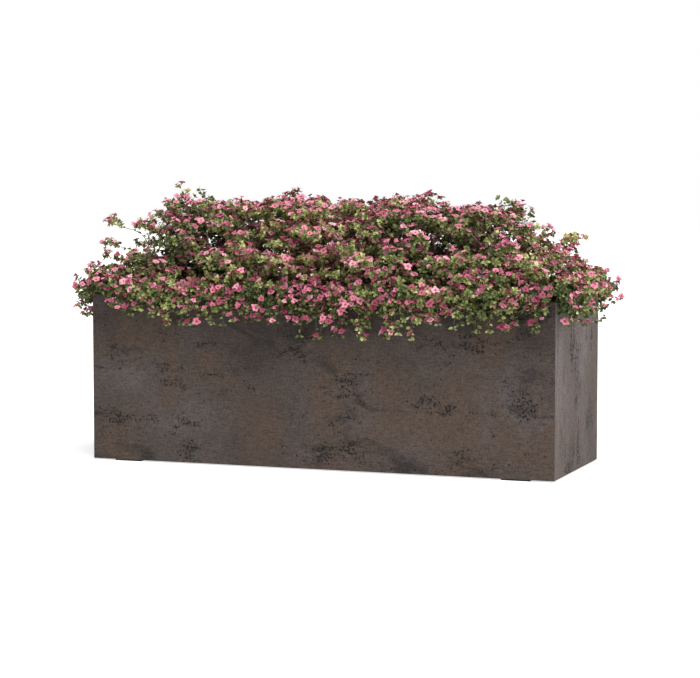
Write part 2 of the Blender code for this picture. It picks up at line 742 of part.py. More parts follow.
def make_crown(number):
    """The outer shape of one shrub's leaves: a dome, cut flat below and where it meets its neighbours."""
    last = SHRUBS - 1
    middle = shrub_x(number)
    at_end = number in (0, last)
    reach = LENGTH / 2 + CROWN_PAST_ENDS
    half = reach - abs(middle) if at_end else SHRUB_PITCH * MIDDLE_CROWN_SHARE / 2
    bm = bmesh.new()
    bmesh.ops.create_icosphere(bm, subdivisions=3, radius=1.0)
    size = Vector((half, DEPTH / 2 + CROWN_PAST_SIDES, CROWN_RISES[number]))
    bmesh.ops.scale(bm, vec=size, verts=bm.verts[:])
    bmesh.ops.translate(bm, vec=(middle, 0, CROWN_BOTTOM), verts=bm.verts[:])
    saw(bm, (0, 0, CROWN_BOTTOM), (0, 0, -1))
    for side in (-1, 1):
        if 0 <= number + side <= last:
            x = middle + side * (SHRUB_PITCH - CROWN_BETWEEN) / 2
            saw(bm, (x, 0, 0), (side, 0, 0))
    name = f"shrub_{number + 1}_crown"
    crown = place(name, mesh_from(name, bm), FOLIAGE)
    smooth_round(crown)
    return crown


def make_shrubs():
    ball_mesh = turned("root_ball", ball_outline(), BALL_SIDES)
    stem_mesh = make_stems()
    made = []
    for number in range(SHRUBS):
        at = Matrix.Translation((shrub_x(number), 0, 0))
        name = f"shrub_{number + 1}_roots_and_stems"
        plant = place(name, ball_mesh, BARK, at)
        combine(plant, place(f"shrub_{number + 1}_stems", stem_mesh, None, at), "UNION")
        smooth_round(plant)
        made += [plant, make_crown(number)]
    return made


def make_box():
    for name in SIDES:
        make_panel(name)
    make_corner_angles()
    make_ledges()
    make_screws()
    make_pads()
    make_base()


def make_insert():
    """Everything that lifts out, held by an empty on the line of the lift."""
    lift = bpy.data.objects.new("lift_out_axis", None)
    bpy.context.scene.collection.objects.link(lift)
    lift.location = (0, 0, LINER_BOTTOM)
    bpy.context.view_layer.update()
    pieces = [make_liner()] + make_outlets() + make_brackets() + make_filling() + make_shrubs()
    for piece in pieces:
        piece.parent = lift
        piece.matrix_parent_inverse = lift.matrix_world.inverted()


clear_scene()
make_box()
make_insert()
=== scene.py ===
# %% [markdown]
# # A planter of dark concrete, planted with flowering shrubs
#
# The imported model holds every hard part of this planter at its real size: the mitred panels, the steel liner, the
# screws. Those parts stay as they are and only get their finishes here. Its shrubs are plain solids, one for each
# root ball and one for each crown, so this script grows them again as wood, leaves and flowers.
# Sizes are in metres. The box stands on the origin, its front faces -Y, and +Z is up.

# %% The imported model
import json
import math
import random

import bmesh
import bpy
import numpy as np
from mathutils import Matrix, Vector, noise
from mathutils.geometry import interpolate_bezier


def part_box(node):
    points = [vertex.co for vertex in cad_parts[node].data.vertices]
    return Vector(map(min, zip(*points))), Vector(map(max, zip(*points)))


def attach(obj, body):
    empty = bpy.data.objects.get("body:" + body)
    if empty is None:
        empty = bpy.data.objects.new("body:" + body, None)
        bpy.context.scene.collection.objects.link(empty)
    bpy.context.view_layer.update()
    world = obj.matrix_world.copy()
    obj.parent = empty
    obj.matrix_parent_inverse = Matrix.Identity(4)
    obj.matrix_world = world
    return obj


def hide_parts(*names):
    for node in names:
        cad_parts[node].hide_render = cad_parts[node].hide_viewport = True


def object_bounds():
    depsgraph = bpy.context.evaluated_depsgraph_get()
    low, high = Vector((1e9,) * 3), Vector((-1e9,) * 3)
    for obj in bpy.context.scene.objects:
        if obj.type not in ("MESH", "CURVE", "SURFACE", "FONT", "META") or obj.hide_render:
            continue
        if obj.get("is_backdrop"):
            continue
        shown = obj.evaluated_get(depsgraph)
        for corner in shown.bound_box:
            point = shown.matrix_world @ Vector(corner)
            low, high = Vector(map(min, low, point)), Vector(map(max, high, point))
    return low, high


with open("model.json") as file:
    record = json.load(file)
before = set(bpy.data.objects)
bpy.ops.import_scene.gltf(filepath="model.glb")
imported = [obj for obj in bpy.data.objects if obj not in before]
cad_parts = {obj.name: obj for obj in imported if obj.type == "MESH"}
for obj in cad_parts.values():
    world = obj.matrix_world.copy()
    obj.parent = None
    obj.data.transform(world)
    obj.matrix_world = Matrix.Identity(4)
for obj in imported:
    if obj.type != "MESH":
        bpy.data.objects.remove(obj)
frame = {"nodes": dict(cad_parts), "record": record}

model_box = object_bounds()
print("model", len(frame["nodes"]), "nodes, box", [round(v, 3) for corner in model_box for v in corner])

# %% Places that the model gives
panel_low, panel_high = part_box("front_panel")
HALF_LENGTH = panel_high.x
HALF_DEPTH = -panel_low.y
RIM = panel_high.z
soil_low, soil_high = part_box("soil")
SOIL = soil_high.z
CROWNS = sorted(name for name in frame["nodes"] if name.endswith("_crown"))
print("rim at", round(RIM, 3), "soil at", round(SOIL, 3), "shrubs", len(CROWNS))

# %% [markdown]
# # The studio
#
# A planter is shown like a piece of furniture: seen from a little above its rim, turned so that the long front and
# one end both show, with a long lens so that the edges stay nearly parallel. The floor is plain and pale. Light
# comes from two broad lamps: one high up, which makes the tops of the leaves bright and leaves the inside of the
# shrubs dark, and one from the right, which makes the end of the box lighter than its front. A sun lamp with a wide
# angle does this more evenly than an area lamp, because the floor then stays equally bright to its edges.

# %% Camera
CAMERA_PLACE = (1.788, -4.739, 0.677)
CAMERA_TURN = 0.3582
CAMERA_DIP = 0.0731
LENS_MM = 103.82

camera = bpy.data.objects.new("camera", bpy.data.cameras.new("camera"))
camera.data.lens = LENS_MM
camera.data.clip_end = 100
camera.location = CAMERA_PLACE
camera.rotation_euler = (math.radians(90) - CAMERA_DIP, 0, CAMERA_TURN)
bpy.context.scene.collection.objects.link(camera)
bpy.context.scene.camera = camera
print("camera", round(camera.location.length, 2), "m from the box, lens", LENS_MM, "mm")


# %% Lamps
def lamp(name, towards, level, spread):
    """A sun lamp that shines along towards. A level of 1 lights a white sheet that faces it to full white."""
    light = bpy.data.lights.new(name, "SUN")
    light.energy = level * math.pi
    light.angle = math.radians(spread)
    holder = bpy.data.objects.new(name, light)
    holder.rotation_euler = Vector(towards).to_track_quat("-Z", "Y").to_euler()
    bpy.context.scene.collection.objects.link(holder)


lamp("high_lamp", (-0.28, 0.30, -0.91), 0.85, 28)
lamp("right_lamp", (-0.93, 0.10, -0.38), 0.74, 70)
print("lamps:", len(bpy.data.lights))

# %% Room and floor
# The room's own light, as a share of the white that the camera sees behind the box.
AMBIENT = 0.30

world = bpy.data.worlds.new("room")
bpy.context.scene.world = world
world.use_nodes = True
room = world.node_tree
backdrop = room.nodes["Background"]
backdrop.inputs["Color"].default_value = (1, 1, 1, 1)
seen_directly = room.nodes.new("ShaderNodeLightPath")
strength = room.nodes.new("ShaderNodeMapRange")
strength.inputs["To Min"].default_value = AMBIENT
strength.inputs["To Max"].default_value = 1
room.links.new(seen_directly.outputs["Is Camera Ray"], strength.inputs["Value"])
room.links.new(strength.outputs["Result"], backdrop.inputs["Strength"])

# A floor that glows as well as being lit stays white, and its shadows stay faint.
FLOOR_SIZE = 60
FLOOR_TONE = 0.7
FLOOR_ROUGHNESS = 0.9
FLOOR_GLOW = 0.62
floor_shape = bmesh.new()
bmesh.ops.create_grid(floor_shape, x_segments=1, y_segments=1, size=FLOOR_SIZE / 2)
floor_mesh = bpy.data.meshes.new("floor")
floor_shape.to_mesh(floor_mesh)
floor_shape.free()
floor = bpy.data.objects.new("floor", floor_mesh)
floor_paint = bpy.data.materials.new("floor")
floor_paint.use_nodes = True
floor_shader = floor_paint.node_tree.nodes["Principled BSDF"]
floor_shader.inputs["Base Color"].default_value = (FLOOR_TONE, FLOOR_TONE, FLOOR_TONE, 1)
floor_shader.inputs["Roughness"].default_value = FLOOR_ROUGHNESS
floor_shader.inputs["Emission Color"].default_value = (1, 1, 1, 1)
floor_shader.inputs["Emission Strength"].default_value = FLOOR_GLOW
floor_mesh.materials.append(floor_paint)
bpy.context.scene.collection.objects.link(floor)
floor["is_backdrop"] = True
bpy.context.scene.view_settings.view_transform = "Standard"
print("floor", FLOOR_SIZE, "m wide")

# %% [markdown]
# # How a finish is written
#
# A finish is a tree of nodes, and most of them only do sums. The class below wraps the socket that a sum comes out
# of, so that `1 - cloud * 0.5` adds the Math nodes by itself. Every other node comes from Finish.node, which sets the
# node's settings, then its sockets. Patterns read Object coordinates in metres, so a size given to noise() is the
# size of its blotches on the real thing.

# %% Sums on sockets
class Value:
    """A number that varies over a surface. Arithmetic on it adds Math nodes."""

    def __init__(self, finish, socket):
        self.finish = finish
        self.socket = socket

    def math(self, operation, *terms):
        return self.finish.node("Math", {"operation": operation}, dict(enumerate(terms)))

    def __add__(self, other):
        return self.math("ADD", self, other)

    def __sub__(self, other):
        return self.math("SUBTRACT", self, other)

    def __rsub__(self, other):
        return self.math("SUBTRACT", other, self)

    def __mul__(self, other):
        return self.math("MULTIPLY", self, other)

    __radd__ = __add__
    __rmul__ = __mul__

    def at_least(self, other):
        return self.math("MAXIMUM", self, other)

    def step(self, start, end):
        """0 before start and 1 past end, with a soft slope between. With start above end it runs the other way."""
        limits = {"Value": self, "From Min": start, "From Max": end}
        return self.finish.node("MapRange", {"interpolation_type": "SMOOTHSTEP"}, limits)


# %% Nodes
class Finish:
    """A material while it is being written."""

    def __init__(self, name, constants=None):
        self.material = bpy.data.materials.new(name)
        self.material.use_nodes = True
        self.tree = self.material.node_tree
        self.shader = self.tree.nodes["Principled BSDF"]
        for socket, value in (constants or {}).items():
            self.shader.inputs[socket].default_value = value

    def node(self, kind, settings=None, values=None, output=0):
        """Adds a node, sets it up, fills or links its sockets, and returns one of its outputs."""
        made = self.tree.nodes.new("ShaderNode" + kind)
        for name, setting in (settings or {}).items():
            if name == "stops":
                while len(made.color_ramp.elements) < len(setting):
                    made.color_ramp.elements.new(1)
                for element, (position, colour) in zip(made.color_ramp.elements, setting):
                    element.position = position
                    element.color = colour
            else:
                setattr(made, name, setting)
        for socket, value in (values or {}).items():
            self.feed(made.inputs[socket], value)
        return Value(self, made.outputs[output])

    def feed(self, socket, value):
        if isinstance(value, Value):
            self.tree.links.new(value.socket, socket)
        elif socket.type == "VECTOR":
            socket.default_value = value[:3]
        else:
            socket.default_value = value

    def places(self, stretch=(1, 1, 1)):
        """Where a point is on the planter. A stretch of 5 along an axis draws a pattern out to 5 times its length."""
        where = self.node("TexCoord", output="Object")
        squeeze = [1 / share for share in stretch]
        return self.node("Mapping", {}, {"Vector": where, "Scale": squeeze})

    def noise(self, where, size, detail=3, roughness=0.5, distortion=0):
        values = {"Vector": where, "Scale": 1 / size, "Detail": detail, "Roughness": roughness}
        return self.node("TexNoise", {}, values | {"Distortion": distortion})

    def cells(self, where, size, feature="F1", output=0):
        return self.node("TexVoronoi", {"feature": feature}, {"Vector": where, "Scale": 1 / size}, output)

    def mix(self, share, first, second):
        """The first colour where share is 0, the second where it is 1."""
        return self.node("Mix", {"data_type": "RGBA"}, {0: share, 6: first, 7: second}, output=2)

    def ramp(self, value, *stops):
        return self.node("ValToRGB", {"stops": stops}, {"Fac": value})

    def tint(self, colour, by):
        """The colour times a number that varies."""
        return self.node("VectorMath", {"operation": "SCALE"}, {0: colour, "Scale": by})

    def wear(self, colour, roughness=None, height=None, depth=0.001, metallic=None):
        """Links what was worked out to the shader. A height of 1 stands depth metres above a height of 0."""
        self.feed(self.shader.inputs["Base Color"], colour)
        if roughness is not None:
            self.feed(self.shader.inputs["Roughness"], roughness)
        if metallic is not None:
            self.feed(self.shader.inputs["Metallic"], metallic)
        if height is not None:
            bump = self.node("Bump", {}, {"Height": height, "Distance": depth})
            self.feed(self.shader.inputs["Normal"], bump)
        return self.material


def paint(red, green, blue):
    return (red, green, blue, 1)


# %% [markdown]
# # Cast concrete
#
# The panels are dyed concrete cast against rough boards. Such a face is never one colour: the dye clouds, wet patches
# dry dark, and the boards leave fine streaks along the way that they ran. Small air holes gather in bands where the
# concrete was tamped, and their insides are painted nearly black as painted shade. One function writes the finish
# for both ways that the streaks can run: along the front and the rear, and up the two ends. The copy for the ends is
# painted paler than the one for the front and the rear, which is painted light.

# %% Concrete
def cast_concrete(name, along, warmth, paleness_and_painted_light):
    """Concrete whose streaks and bands of holes run along an axis, given as a stretch such as (4, 1, 1).

    warmth is how strongly its brown patches show. The last number is how pale it is; above 1 it is partly painted
    light.
    """
    finish = Finish(name, {"Specular IOR Level": 0.2})
    plain = finish.places()
    drawn = finish.places([1 + 0.35 * (share - 1) for share in along])
    streaked = finish.places(along)

    cloud = finish.noise(drawn, 0.26, detail=5, roughness=0.55)
    colour = finish.ramp(
        cloud,
        (0.34, paint(0.038, 0.030, 0.027)),
        (0.44, paint(0.060, 0.046, 0.039)),
        (0.54, paint(0.072, 0.057, 0.052)),
        (0.66, paint(0.100, 0.083, 0.081)),
    )
    warm = finish.noise(plain, 0.24, detail=4, distortion=0.4).step(0.42, 0.62)
    colour = finish.mix(warm * warmth, colour, paint(0.076, 0.052, 0.038))

    soot = finish.noise(drawn, 0.085, detail=8, roughness=0.66, distortion=0.5)
    colour = finish.mix(soot.step(0.53, 0.68) * 0.72, colour, paint(0.020, 0.018, 0.018))

    streaks = finish.noise(streaked, 0.0050, detail=3, roughness=0.6).step(0.28, 0.72)
    grain = finish.noise(plain, 0.0036, detail=3, roughness=0.7).step(0.30, 0.70)
    colour = finish.tint(colour, paleness_and_painted_light * (0.52 + 0.38 * streaks + 0.58 * grain))

    bands = finish.noise(drawn, 0.070, detail=6, roughness=0.68)
    crowded = bands.step(0.53, 0.63)
    rough = finish.noise(plain, 0.0062, detail=4, roughness=0.75)
    small_holes = (rough + 0.13 * crowded).step(0.632, 0.662)
    round_holes = finish.cells(plain, 0.021).step(0.14, 0.08) * bands.step(0.43, 0.53)
    holes = small_holes.at_least(round_holes)
    colour = finish.mix(crowded * 0.18, colour, paint(0.024, 0.021, 0.021))
    # Painted shade: the air holes are painted nearly black, as the inside of a hole lies in shade.
    colour = finish.mix(holes * 0.92, colour, paint(0.007, 0.007, 0.007))

    scuff = finish.noise(plain, 0.050, detail=8, roughness=0.76, distortion=1.6).step(0.645, 0.70)
    colour = finish.mix(scuff * 0.5, colour, paint(0.20, 0.165, 0.135))

    height = 0.4 + 0.14 * streaks + 0.30 * grain - 0.6 * holes + 0.1 * scuff
    roughness = 0.70 + 0.18 * cloud
    return finish.wear(colour, roughness, height, depth=0.0012)


LONG_CONCRETE = cast_concrete("concrete_long", (4, 1, 1), warmth=0.80, paleness_and_painted_light=1.0)
# Painted light: the ends' copy is painted 1.32 times paler, standing in for the light that falls on them.
END_CONCRETE_PAINTED_LIGHTER = cast_concrete("concrete_end_painted_lighter", (1, 1, 5), warmth=0.10, paleness_and_painted_light=1.32)
print("concrete nodes:", len(LONG_CONCRETE.node_tree.nodes))


# %% [markdown]
# # The parts inside
#
# What the shrubs hide still shows when the liner is lifted out, and from below: a slab of plain grey concrete, angles
# and ledges of galvanised steel with their crystals, stainless screws, a liner of powder-coated sheet, plastic
# outlets, rubber pads, and the layers of gravel, fleece and compost.

# %% Slab
def plain_concrete():
    finish = Finish("slab")
    where = finish.places()
    cloud = finish.noise(where, 0.12, detail=4)
    sand = finish.noise(where, 0.0016, detail=2)
    pores = finish.cells(where, 0.009).step(0.20, 0.10) * finish.noise(where, 0.03).step(0.45, 0.6)
    colour = finish.mix(cloud.step(0.3, 0.7), paint(0.25, 0.24, 0.225), paint(0.36, 0.35, 0.33))
    # Painted shade: the pores are darkened, as their insides lie in shade.
    colour = finish.tint(colour, 0.82 + 0.36 * sand - 0.5 * pores)
    return finish.wear(colour, 0.86 + 0.1 * sand, sand * 0.3 - pores, depth=0.0008)


# %% Metals
def galvanised_steel():
    """Zinc crystals: each cell has its own tone and its own shine."""
    finish = Finish("galvanised", {"Metallic": 1})
    where = finish.places()
    bent = finish.node("VectorMath", {"operation": "MULTIPLY_ADD"}, {
        0: finish.node("TexNoise", {}, {"Vector": where, "Scale": 150}, output="Color"),
        1: (0.006, 0.006, 0.006),
        2: where,
    })
    crystal = finish.node("SeparateXYZ", {}, {0: finish.cells(bent, 0.011, output="Color")})
    haze = finish.noise(where, 0.03)
    colour = finish.tint(paint(0.53, 0.55, 0.56), 0.78 + 0.34 * crystal + 0.12 * haze)
    return finish.wear(colour, 0.30 + 0.18 * crystal + 0.1 * haze, crystal, depth=0.00005)


def stainless_steel():
    """Turned and polished heads, with the fine rings of the lathe."""
    finish = Finish("stainless", {"Metallic": 1})
    where = finish.places()
    rings = finish.noise(where, 0.0006, detail=1)
    smear = finish.noise(where, 0.004)
    colour = finish.tint(paint(0.62, 0.61, 0.60), 0.88 + 0.16 * smear)
    return finish.wear(colour, 0.18 + 0.16 * smear + 0.06 * rings, rings, depth=0.00003)


def coated_sheet():
    """Powder coat: a fine orange-peel skin, dulled by dust and by scuffs of soil."""
    finish = Finish("coated_sheet")
    where = finish.places()
    peel = finish.noise(where, 0.0018, detail=1)
    dust = finish.noise(where, 0.07, detail=4).step(0.42, 0.72)
    scratch = finish.noise(finish.places((0.02, 1, 1.4)), 0.02, detail=3).step(0.63, 0.66)
    colour = finish.mix(dust * 0.5, paint(0.028, 0.029, 0.031), paint(0.075, 0.068, 0.058))
    colour = finish.mix(scratch * 0.25, colour, paint(0.20, 0.19, 0.18))
    return finish.wear(colour, 0.42 + 0.3 * dust, peel, depth=0.00012)


# %% Plastic, rubber and fleece
def moulded_plastic():
    finish = Finish("pipe_plastic")
    where = finish.places()
    skin = finish.noise(where, 0.0012, detail=2)
    lime = finish.noise(where, 0.012, detail=4).step(0.5, 0.75)
    colour = finish.mix(lime * 0.4, paint(0.15, 0.15, 0.16), paint(0.30, 0.29, 0.27))
    return finish.wear(colour, 0.45 + 0.25 * lime, skin, depth=0.00008)


def pad_rubber():
    finish = Finish("pad_rubber")
    where = finish.places()
    crumb = finish.cells(where, 0.003)
    dust = finish.noise(where, 0.01, detail=3)
    colour = finish.mix(dust.step(0.45, 0.8), paint(0.016, 0.016, 0.017), paint(0.06, 0.057, 0.052))
    return finish.wear(colour, 0.8 + 0.12 * dust, crumb, depth=0.0003)


def filter_fleece():
    """Needled felt: short fibres that lie every way, over a faint grid of needle marks."""
    finish = Finish("fleece")
    where = finish.places()
    along = finish.noise(finish.places((6, 1, 1)), 0.0012, detail=2)
    across = finish.noise(finish.places((1, 6, 1)), 0.0012, detail=2)
    needled = finish.cells(where, 0.004).step(0.0, 0.25)
    colour = finish.tint(paint(0.56, 0.57, 0.56), 0.55 + 0.35 * along + 0.35 * across)
    return finish.wear(colour, 0.85 + 0.1 * along, along + across + needled * 0.5, depth=0.0004)


# %% Gravel and compost
def washed_gravel():
    finish = Finish("gravel")
    where = finish.places()
    pebble = finish.cells(where, 0.011)
    tone = finish.node("SeparateXYZ", {}, {0: finish.cells(where, 0.011, output="Color")})
    colour = finish.ramp(
        tone,
        (0.0, paint(0.17, 0.15, 0.13)),
        (0.4, paint(0.33, 0.30, 0.26)),
        (0.7, paint(0.42, 0.36, 0.28)),
        (1.0, paint(0.50, 0.49, 0.47)),
    )
    # Painted shade: each pebble darkens towards its edge, where the gaps between pebbles lie in shade.
    colour = finish.tint(colour, 1.1 - 0.8 * pebble.step(0.35, 0.6))
    return finish.wear(colour, 0.7 + 0.2 * tone, 1 - pebble, depth=0.006)


def moist_compost():
    """Dark crumbs with flecks of bark and a few pale grains."""
    finish = Finish("compost")
    where = finish.places()
    crumbs = finish.noise(where, 0.006, detail=5, roughness=0.65)
    flecks = finish.cells(finish.places((2.2, 1, 1)), 0.005).step(0.28, 0.16)
    grains = finish.cells(where, 0.014).step(0.10, 0.07)
    colour = finish.mix(crumbs.step(0.3, 0.7), paint(0.018, 0.012, 0.008), paint(0.062, 0.042, 0.028))
    colour = finish.mix(flecks * 0.5, colour, paint(0.12, 0.075, 0.045))
    colour = finish.mix(grains * 0.7, colour, paint(0.42, 0.40, 0.36))
    return finish.wear(colour, 0.9 - 0.2 * flecks, crumbs + 0.2 * flecks, depth=0.003)


# %% Every hard part gets its finish
COMPOST = moist_compost()
SLOT_FINISHES = {
    "slab": plain_concrete(),
    "galvanised": galvanised_steel(),
    "stainless": stainless_steel(),
    "coated_sheet": coated_sheet(),
    "pipe_plastic": moulded_plastic(),
    "pad_rubber": pad_rubber(),
    "fleece": filter_fleece(),
    "gravel": washed_gravel(),
    "compost": COMPOST,
}

for row in frame["record"]["subparts"]:
    name, slot = row["node"], row["material_slot"]
    if slot == "concrete":
        finish = END_CONCRETE_PAINTED_LIGHTER if "end_panel" in name else LONG_CONCRETE
    else:
        finish = SLOT_FINISHES.get(slot)
    if finish:
        frame["nodes"][name].data.materials.clear()
        frame["nodes"][name].data.materials.append(finish)
print("finishes:", len(SLOT_FINISHES) + 2)


# %% [markdown]
# # Pieces of the planting
#
# Each shrub is three pieces: its wood, its leaves and its flowers. A leaf is drawn once and set down thousands of
# times, so it must have few faces. Each copy is a real part of one mesh, with a tone of its own stored on its faces,
# because a plant whose leaves are all one green looks like plastic. The leaves and flowers also carry a second map,
# OFBake, with one square tile for each tone: copies of one tone share a tile, so a bake of the colours can be
# sharp without a place for every leaf.

# %% Making a piece
def add_piece(name, mesh, finish, slot, *nodes):
    """Puts a mesh in the scene as a piece of the planting that lifts out with the liner."""
    mesh.materials.append(finish)
    piece = bpy.data.objects.new(name, mesh)
    bpy.context.scene.collection.objects.link(piece)
    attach(piece, "planting_insert")
    if nodes:
        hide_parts(*nodes)
    mesh.calc_loop_triangles()
    print(name, len(mesh.loop_triangles), "triangles")
    return piece


# %% A leaf
LEAF_LENGTH = 0.0124
LEAF_WIDTH = 0.0080
LEAF_FOLD = 0.25
LEAF_DROOP = 0.0024
# Below 1, the first moves the leaf's broadest place towards its stalk and the second makes it fuller.
LEAF_BROAD_LOW = 0.9
LEAF_FULLNESS = 0.75
FACES_ACROSS = 2
FACES_ALONG = 3
POINTS_MEET = 1e-5


def sheet_template(outline):
    """A small sheet, cut and bent by outline(u, v), which gives the place of a point. u runs across, v along."""
    shape = bmesh.new()
    bmesh.ops.create_grid(shape, x_segments=FACES_ACROSS, y_segments=FACES_ALONG, size=0.5)
    layer = shape.loops.layers.uv.new("blade")
    for face in shape.faces:
        for corner in face.loops:
            corner[layer].uv = (corner.vert.co.x + 0.5, corner.vert.co.y + 0.5)
    for vertex in shape.verts:
        vertex.co = outline(2 * vertex.co.x, vertex.co.y + 0.5)
    bmesh.ops.remove_doubles(shape, verts=shape.verts, dist=POINTS_MEET)
    return shape


def leaf_outline(u, v):
    """An oval blade with a point, folded up along its midrib and bent down towards its tip."""
    half_width = 0.5 * LEAF_WIDTH * math.sin(math.pi * v**LEAF_BROAD_LOW) ** LEAF_FULLNESS
    across = u * half_width
    return Vector((across, LEAF_LENGTH * v, LEAF_FOLD * abs(across) - LEAF_DROOP * v * v))


def mesh_from(name, shape):
    """The mesh of a finished bmesh."""
    mesh = bpy.data.meshes.new(name)
    shape.to_mesh(mesh)
    shape.free()
    return mesh


LEAF = mesh_from("leaf", sheet_template(leaf_outline))
print("leaf faces:", len(LEAF.polygons))


# %% [markdown]
# # Flowers
#
# The flower has five petals on a short funnel. One petal is a small sheet, narrow at the throat, round and slightly
# bent back at the rim, and spinning it four times more makes the flower. The half-open flower and the bud are the
# same drawing with the petals raised. The map runs from the stalk at 0, past the throat at 0.2, to the rim at 1, so
# that one finish can colour all of it.

# %% A flower
PETALS = 5
PETAL_LENGTH = 0.0094
PETAL_WIDTH = 0.0072
THROAT_RADIUS = 0.0012
# How the petal's outline starts, swells and ends, then how it rounds off, bends back, cups and ruffles.
PETAL_FOOT = 0.20
PETAL_BROAD_HIGH = 1.15
PETAL_END = 0.88
PETAL_FULLNESS = 0.8
PETAL_ROUNDED = 0.10
PETAL_BENT_BACK = 0.75
PETAL_CUPPED = 0.0010
PETAL_RUFFLE = 0.16
FUNNEL_DEPTH = 0.006
FUNNEL_FOOT = 0.0005
FUNNEL_FLARE = 1.3
STYLE_LENGTH = 0.009
STYLE_FOOT = 0.0005
STYLE_TIP = 0.0002
# Where the throat and the style lie on the map that runs from the stalk at 0 to the rim at 1.
THROAT_ON_MAP = 0.2
STYLE_ON_MAP = (0.35, 0.5)


def flower_template(name, raised, size):
    """A flower that faces +Z, with its petals raised by an angle from flat and no two of them quite alike."""

    def petal_outline(u, v):
        fullness = math.sin(math.pi * v**PETAL_BROAD_HIGH * PETAL_END) ** PETAL_FULLNESS
        across = 0.5 * PETAL_WIDTH * u * (PETAL_FOOT + fullness)
        run = THROAT_RADIUS + PETAL_LENGTH * v * (1 - PETAL_ROUNDED * u * u)
        bent = raised * (1 - PETAL_BENT_BACK * v)
        rise = PETAL_LENGTH * v * math.sin(bent) - PETAL_CUPPED * u * u * (1 - v)
        return size * Vector((across, run * math.cos(bent), rise))

    shape = sheet_template(petal_outline)
    layer = shape.loops.layers.uv["blade"]
    for face in shape.faces:
        for corner in face.loops:
            corner[layer].uv.y = THROAT_ON_MAP + (1 - THROAT_ON_MAP) * corner[layer].uv.y
    turn = 2 * math.pi * (PETALS - 1) / PETALS
    bmesh.ops.spin(
        shape,
        geom=shape.verts[:] + shape.edges[:] + shape.faces[:],
        axis=(0, 0, 1),
        angle=turn,
        steps=PETALS - 1,
        use_duplicate=True,
    )
    for vertex in shape.verts:
        out = vertex.co.xy.length
        around = math.atan2(vertex.co.y, vertex.co.x)
        vertex.co.z += PETAL_RUFFLE * out * math.sin(2 * around + 1)
        vertex.co.xy *= 1 + PETAL_RUFFLE * math.sin(3 * around)
    funnel = bmesh.ops.create_cone(
        shape,
        cap_ends=False,
        segments=PETALS,
        radius1=size * FUNNEL_FOOT,
        radius2=size * THROAT_RADIUS * FUNNEL_FLARE,
        depth=size * FUNNEL_DEPTH,
        matrix=Matrix.Translation((0, 0, -size * FUNNEL_DEPTH / 2)),
    )
    style = bmesh.ops.create_cone(
        shape,
        cap_ends=False,
        segments=3,
        radius1=size * STYLE_FOOT,
        radius2=size * STYLE_TIP,
        depth=size * STYLE_LENGTH,
        matrix=Matrix.Translation((0, 0, size * STYLE_LENGTH / 2)),
    )
    for made, low, high in ((funnel, 0.0, THROAT_ON_MAP), (style, *STYLE_ON_MAP)):
        heights = [vertex.co.z for vertex in made["verts"]]
        for vertex in made["verts"]:
            share = (vertex.co.z - min(heights)) / (max(heights) - min(heights))
            for corner in vertex.link_loops:
                corner[layer].uv = (0.5, low + (high - low) * share)
    return mesh_from(name, shape)


OPEN_FLOWER = flower_template("open_flower", math.radians(44), 1.0)
HALF_OPEN_FLOWER = flower_template("half_open_flower", math.radians(64), 0.85)
BUD = flower_template("bud", math.radians(84), 0.5)
print("flower faces:", len(OPEN_FLOWER.polygons))


# %% [markdown]
# # Setting copies down
#
# A copy of a template is moved by a matrix and added to one growing mesh. The tone of each copy goes onto its faces
# afterwards, in the order in which the copies were added.

# %% Copies
TONES = 64
TILES = 8
TILE_MARGIN = 0.06


def scattered(name, copies):
    """One mesh of many copies, each given as (template, matrix, tone)."""
    shape = bmesh.new()
    tones, tiles = [], []
    for template, matrix, tone in copies:
        copy = template.copy()
        copy.transform(matrix)
        shape.from_mesh(copy)
        bpy.data.meshes.remove(copy)
        tones.append(np.full(len(template.polygons), tone / (TONES - 1)))
        tiles.append(np.full(len(template.loops), tone))
    mesh = bpy.data.meshes.new(name)
    shape.to_mesh(mesh)
    shape.free()

    mesh.attributes.new("tone", "FLOAT", "FACE").data.foreach_set("value", np.concatenate(tones))
    blade = np.empty(2 * len(mesh.loops))
    mesh.uv_layers["blade"].uv.foreach_get("vector", blade)
    tile = np.concatenate(tiles)
    corner = np.stack([tile % TILES, tile // TILES], axis=1)
    inside = TILE_MARGIN + (1 - 2 * TILE_MARGIN) * blade.reshape(-1, 2)
    tiled = mesh.uv_layers.new(name="OFBake")
    tiled.uv.foreach_set("vector", ((corner + inside) / TILES).ravel())
    mesh.shade_smooth()
    return mesh


def facing(place, along, up, size):
    """The matrix that lays a shape drawn along +Y, face up, at a place, pointing along and facing up."""
    along = along.normalized()
    side = along.cross(up).normalized()
    turn = Matrix((side, along, side.cross(along))).transposed().to_4x4()
    return Matrix.Translation(place) @ turn @ Matrix.Scale(size, 4)


# %% [markdown]
# # How a shrub grows
#
# A dwarf azalea grows in tiers. Thin stems fork from the root ball and lean outwards, and each ends in flat sprays of
# twigs that lie one above another with dark gaps between them. Leaves stand along a spray, and the flowers sit in
# clusters on its upper side. So the crown is grown from the outside in: first the places of the sprays' tips, tier by
# tier, inside the outline that the planting fills, then the twigs back to the nearest stem.

# %% The outline of the planting
# Heights that the planting reaches along the box.
TOP_LINE = (
    (-0.70, 0.440),
    (-0.62, 0.474),
    (-0.54, 0.512),
    (-0.470, 0.546),
    (-0.445, 0.628),
    (-0.405, 0.640),
    (-0.30, 0.630),
    (-0.22, 0.636),
    (-0.14, 0.642),
    (0.00, 0.632),
    (0.20, 0.636),
    (0.33, 0.612),
    (0.43, 0.628),
    (0.45, 0.558),
    (0.55, 0.508),
    (0.63, 0.466),
    (0.70, 0.440),
)
# Height of each tier, and how far it reaches along and across from the middle.
TIERS = (
    (0.432, 0.655, 0.250),
    (0.462, 0.668, 0.256),
    (0.496, 0.640, 0.254),
    (0.531, 0.590, 0.246),
    (0.566, 0.530, 0.230),
    (0.601, 0.485, 0.205),
)
TOP_REACH = 0.170
FULL_HEIGHT = 0.640
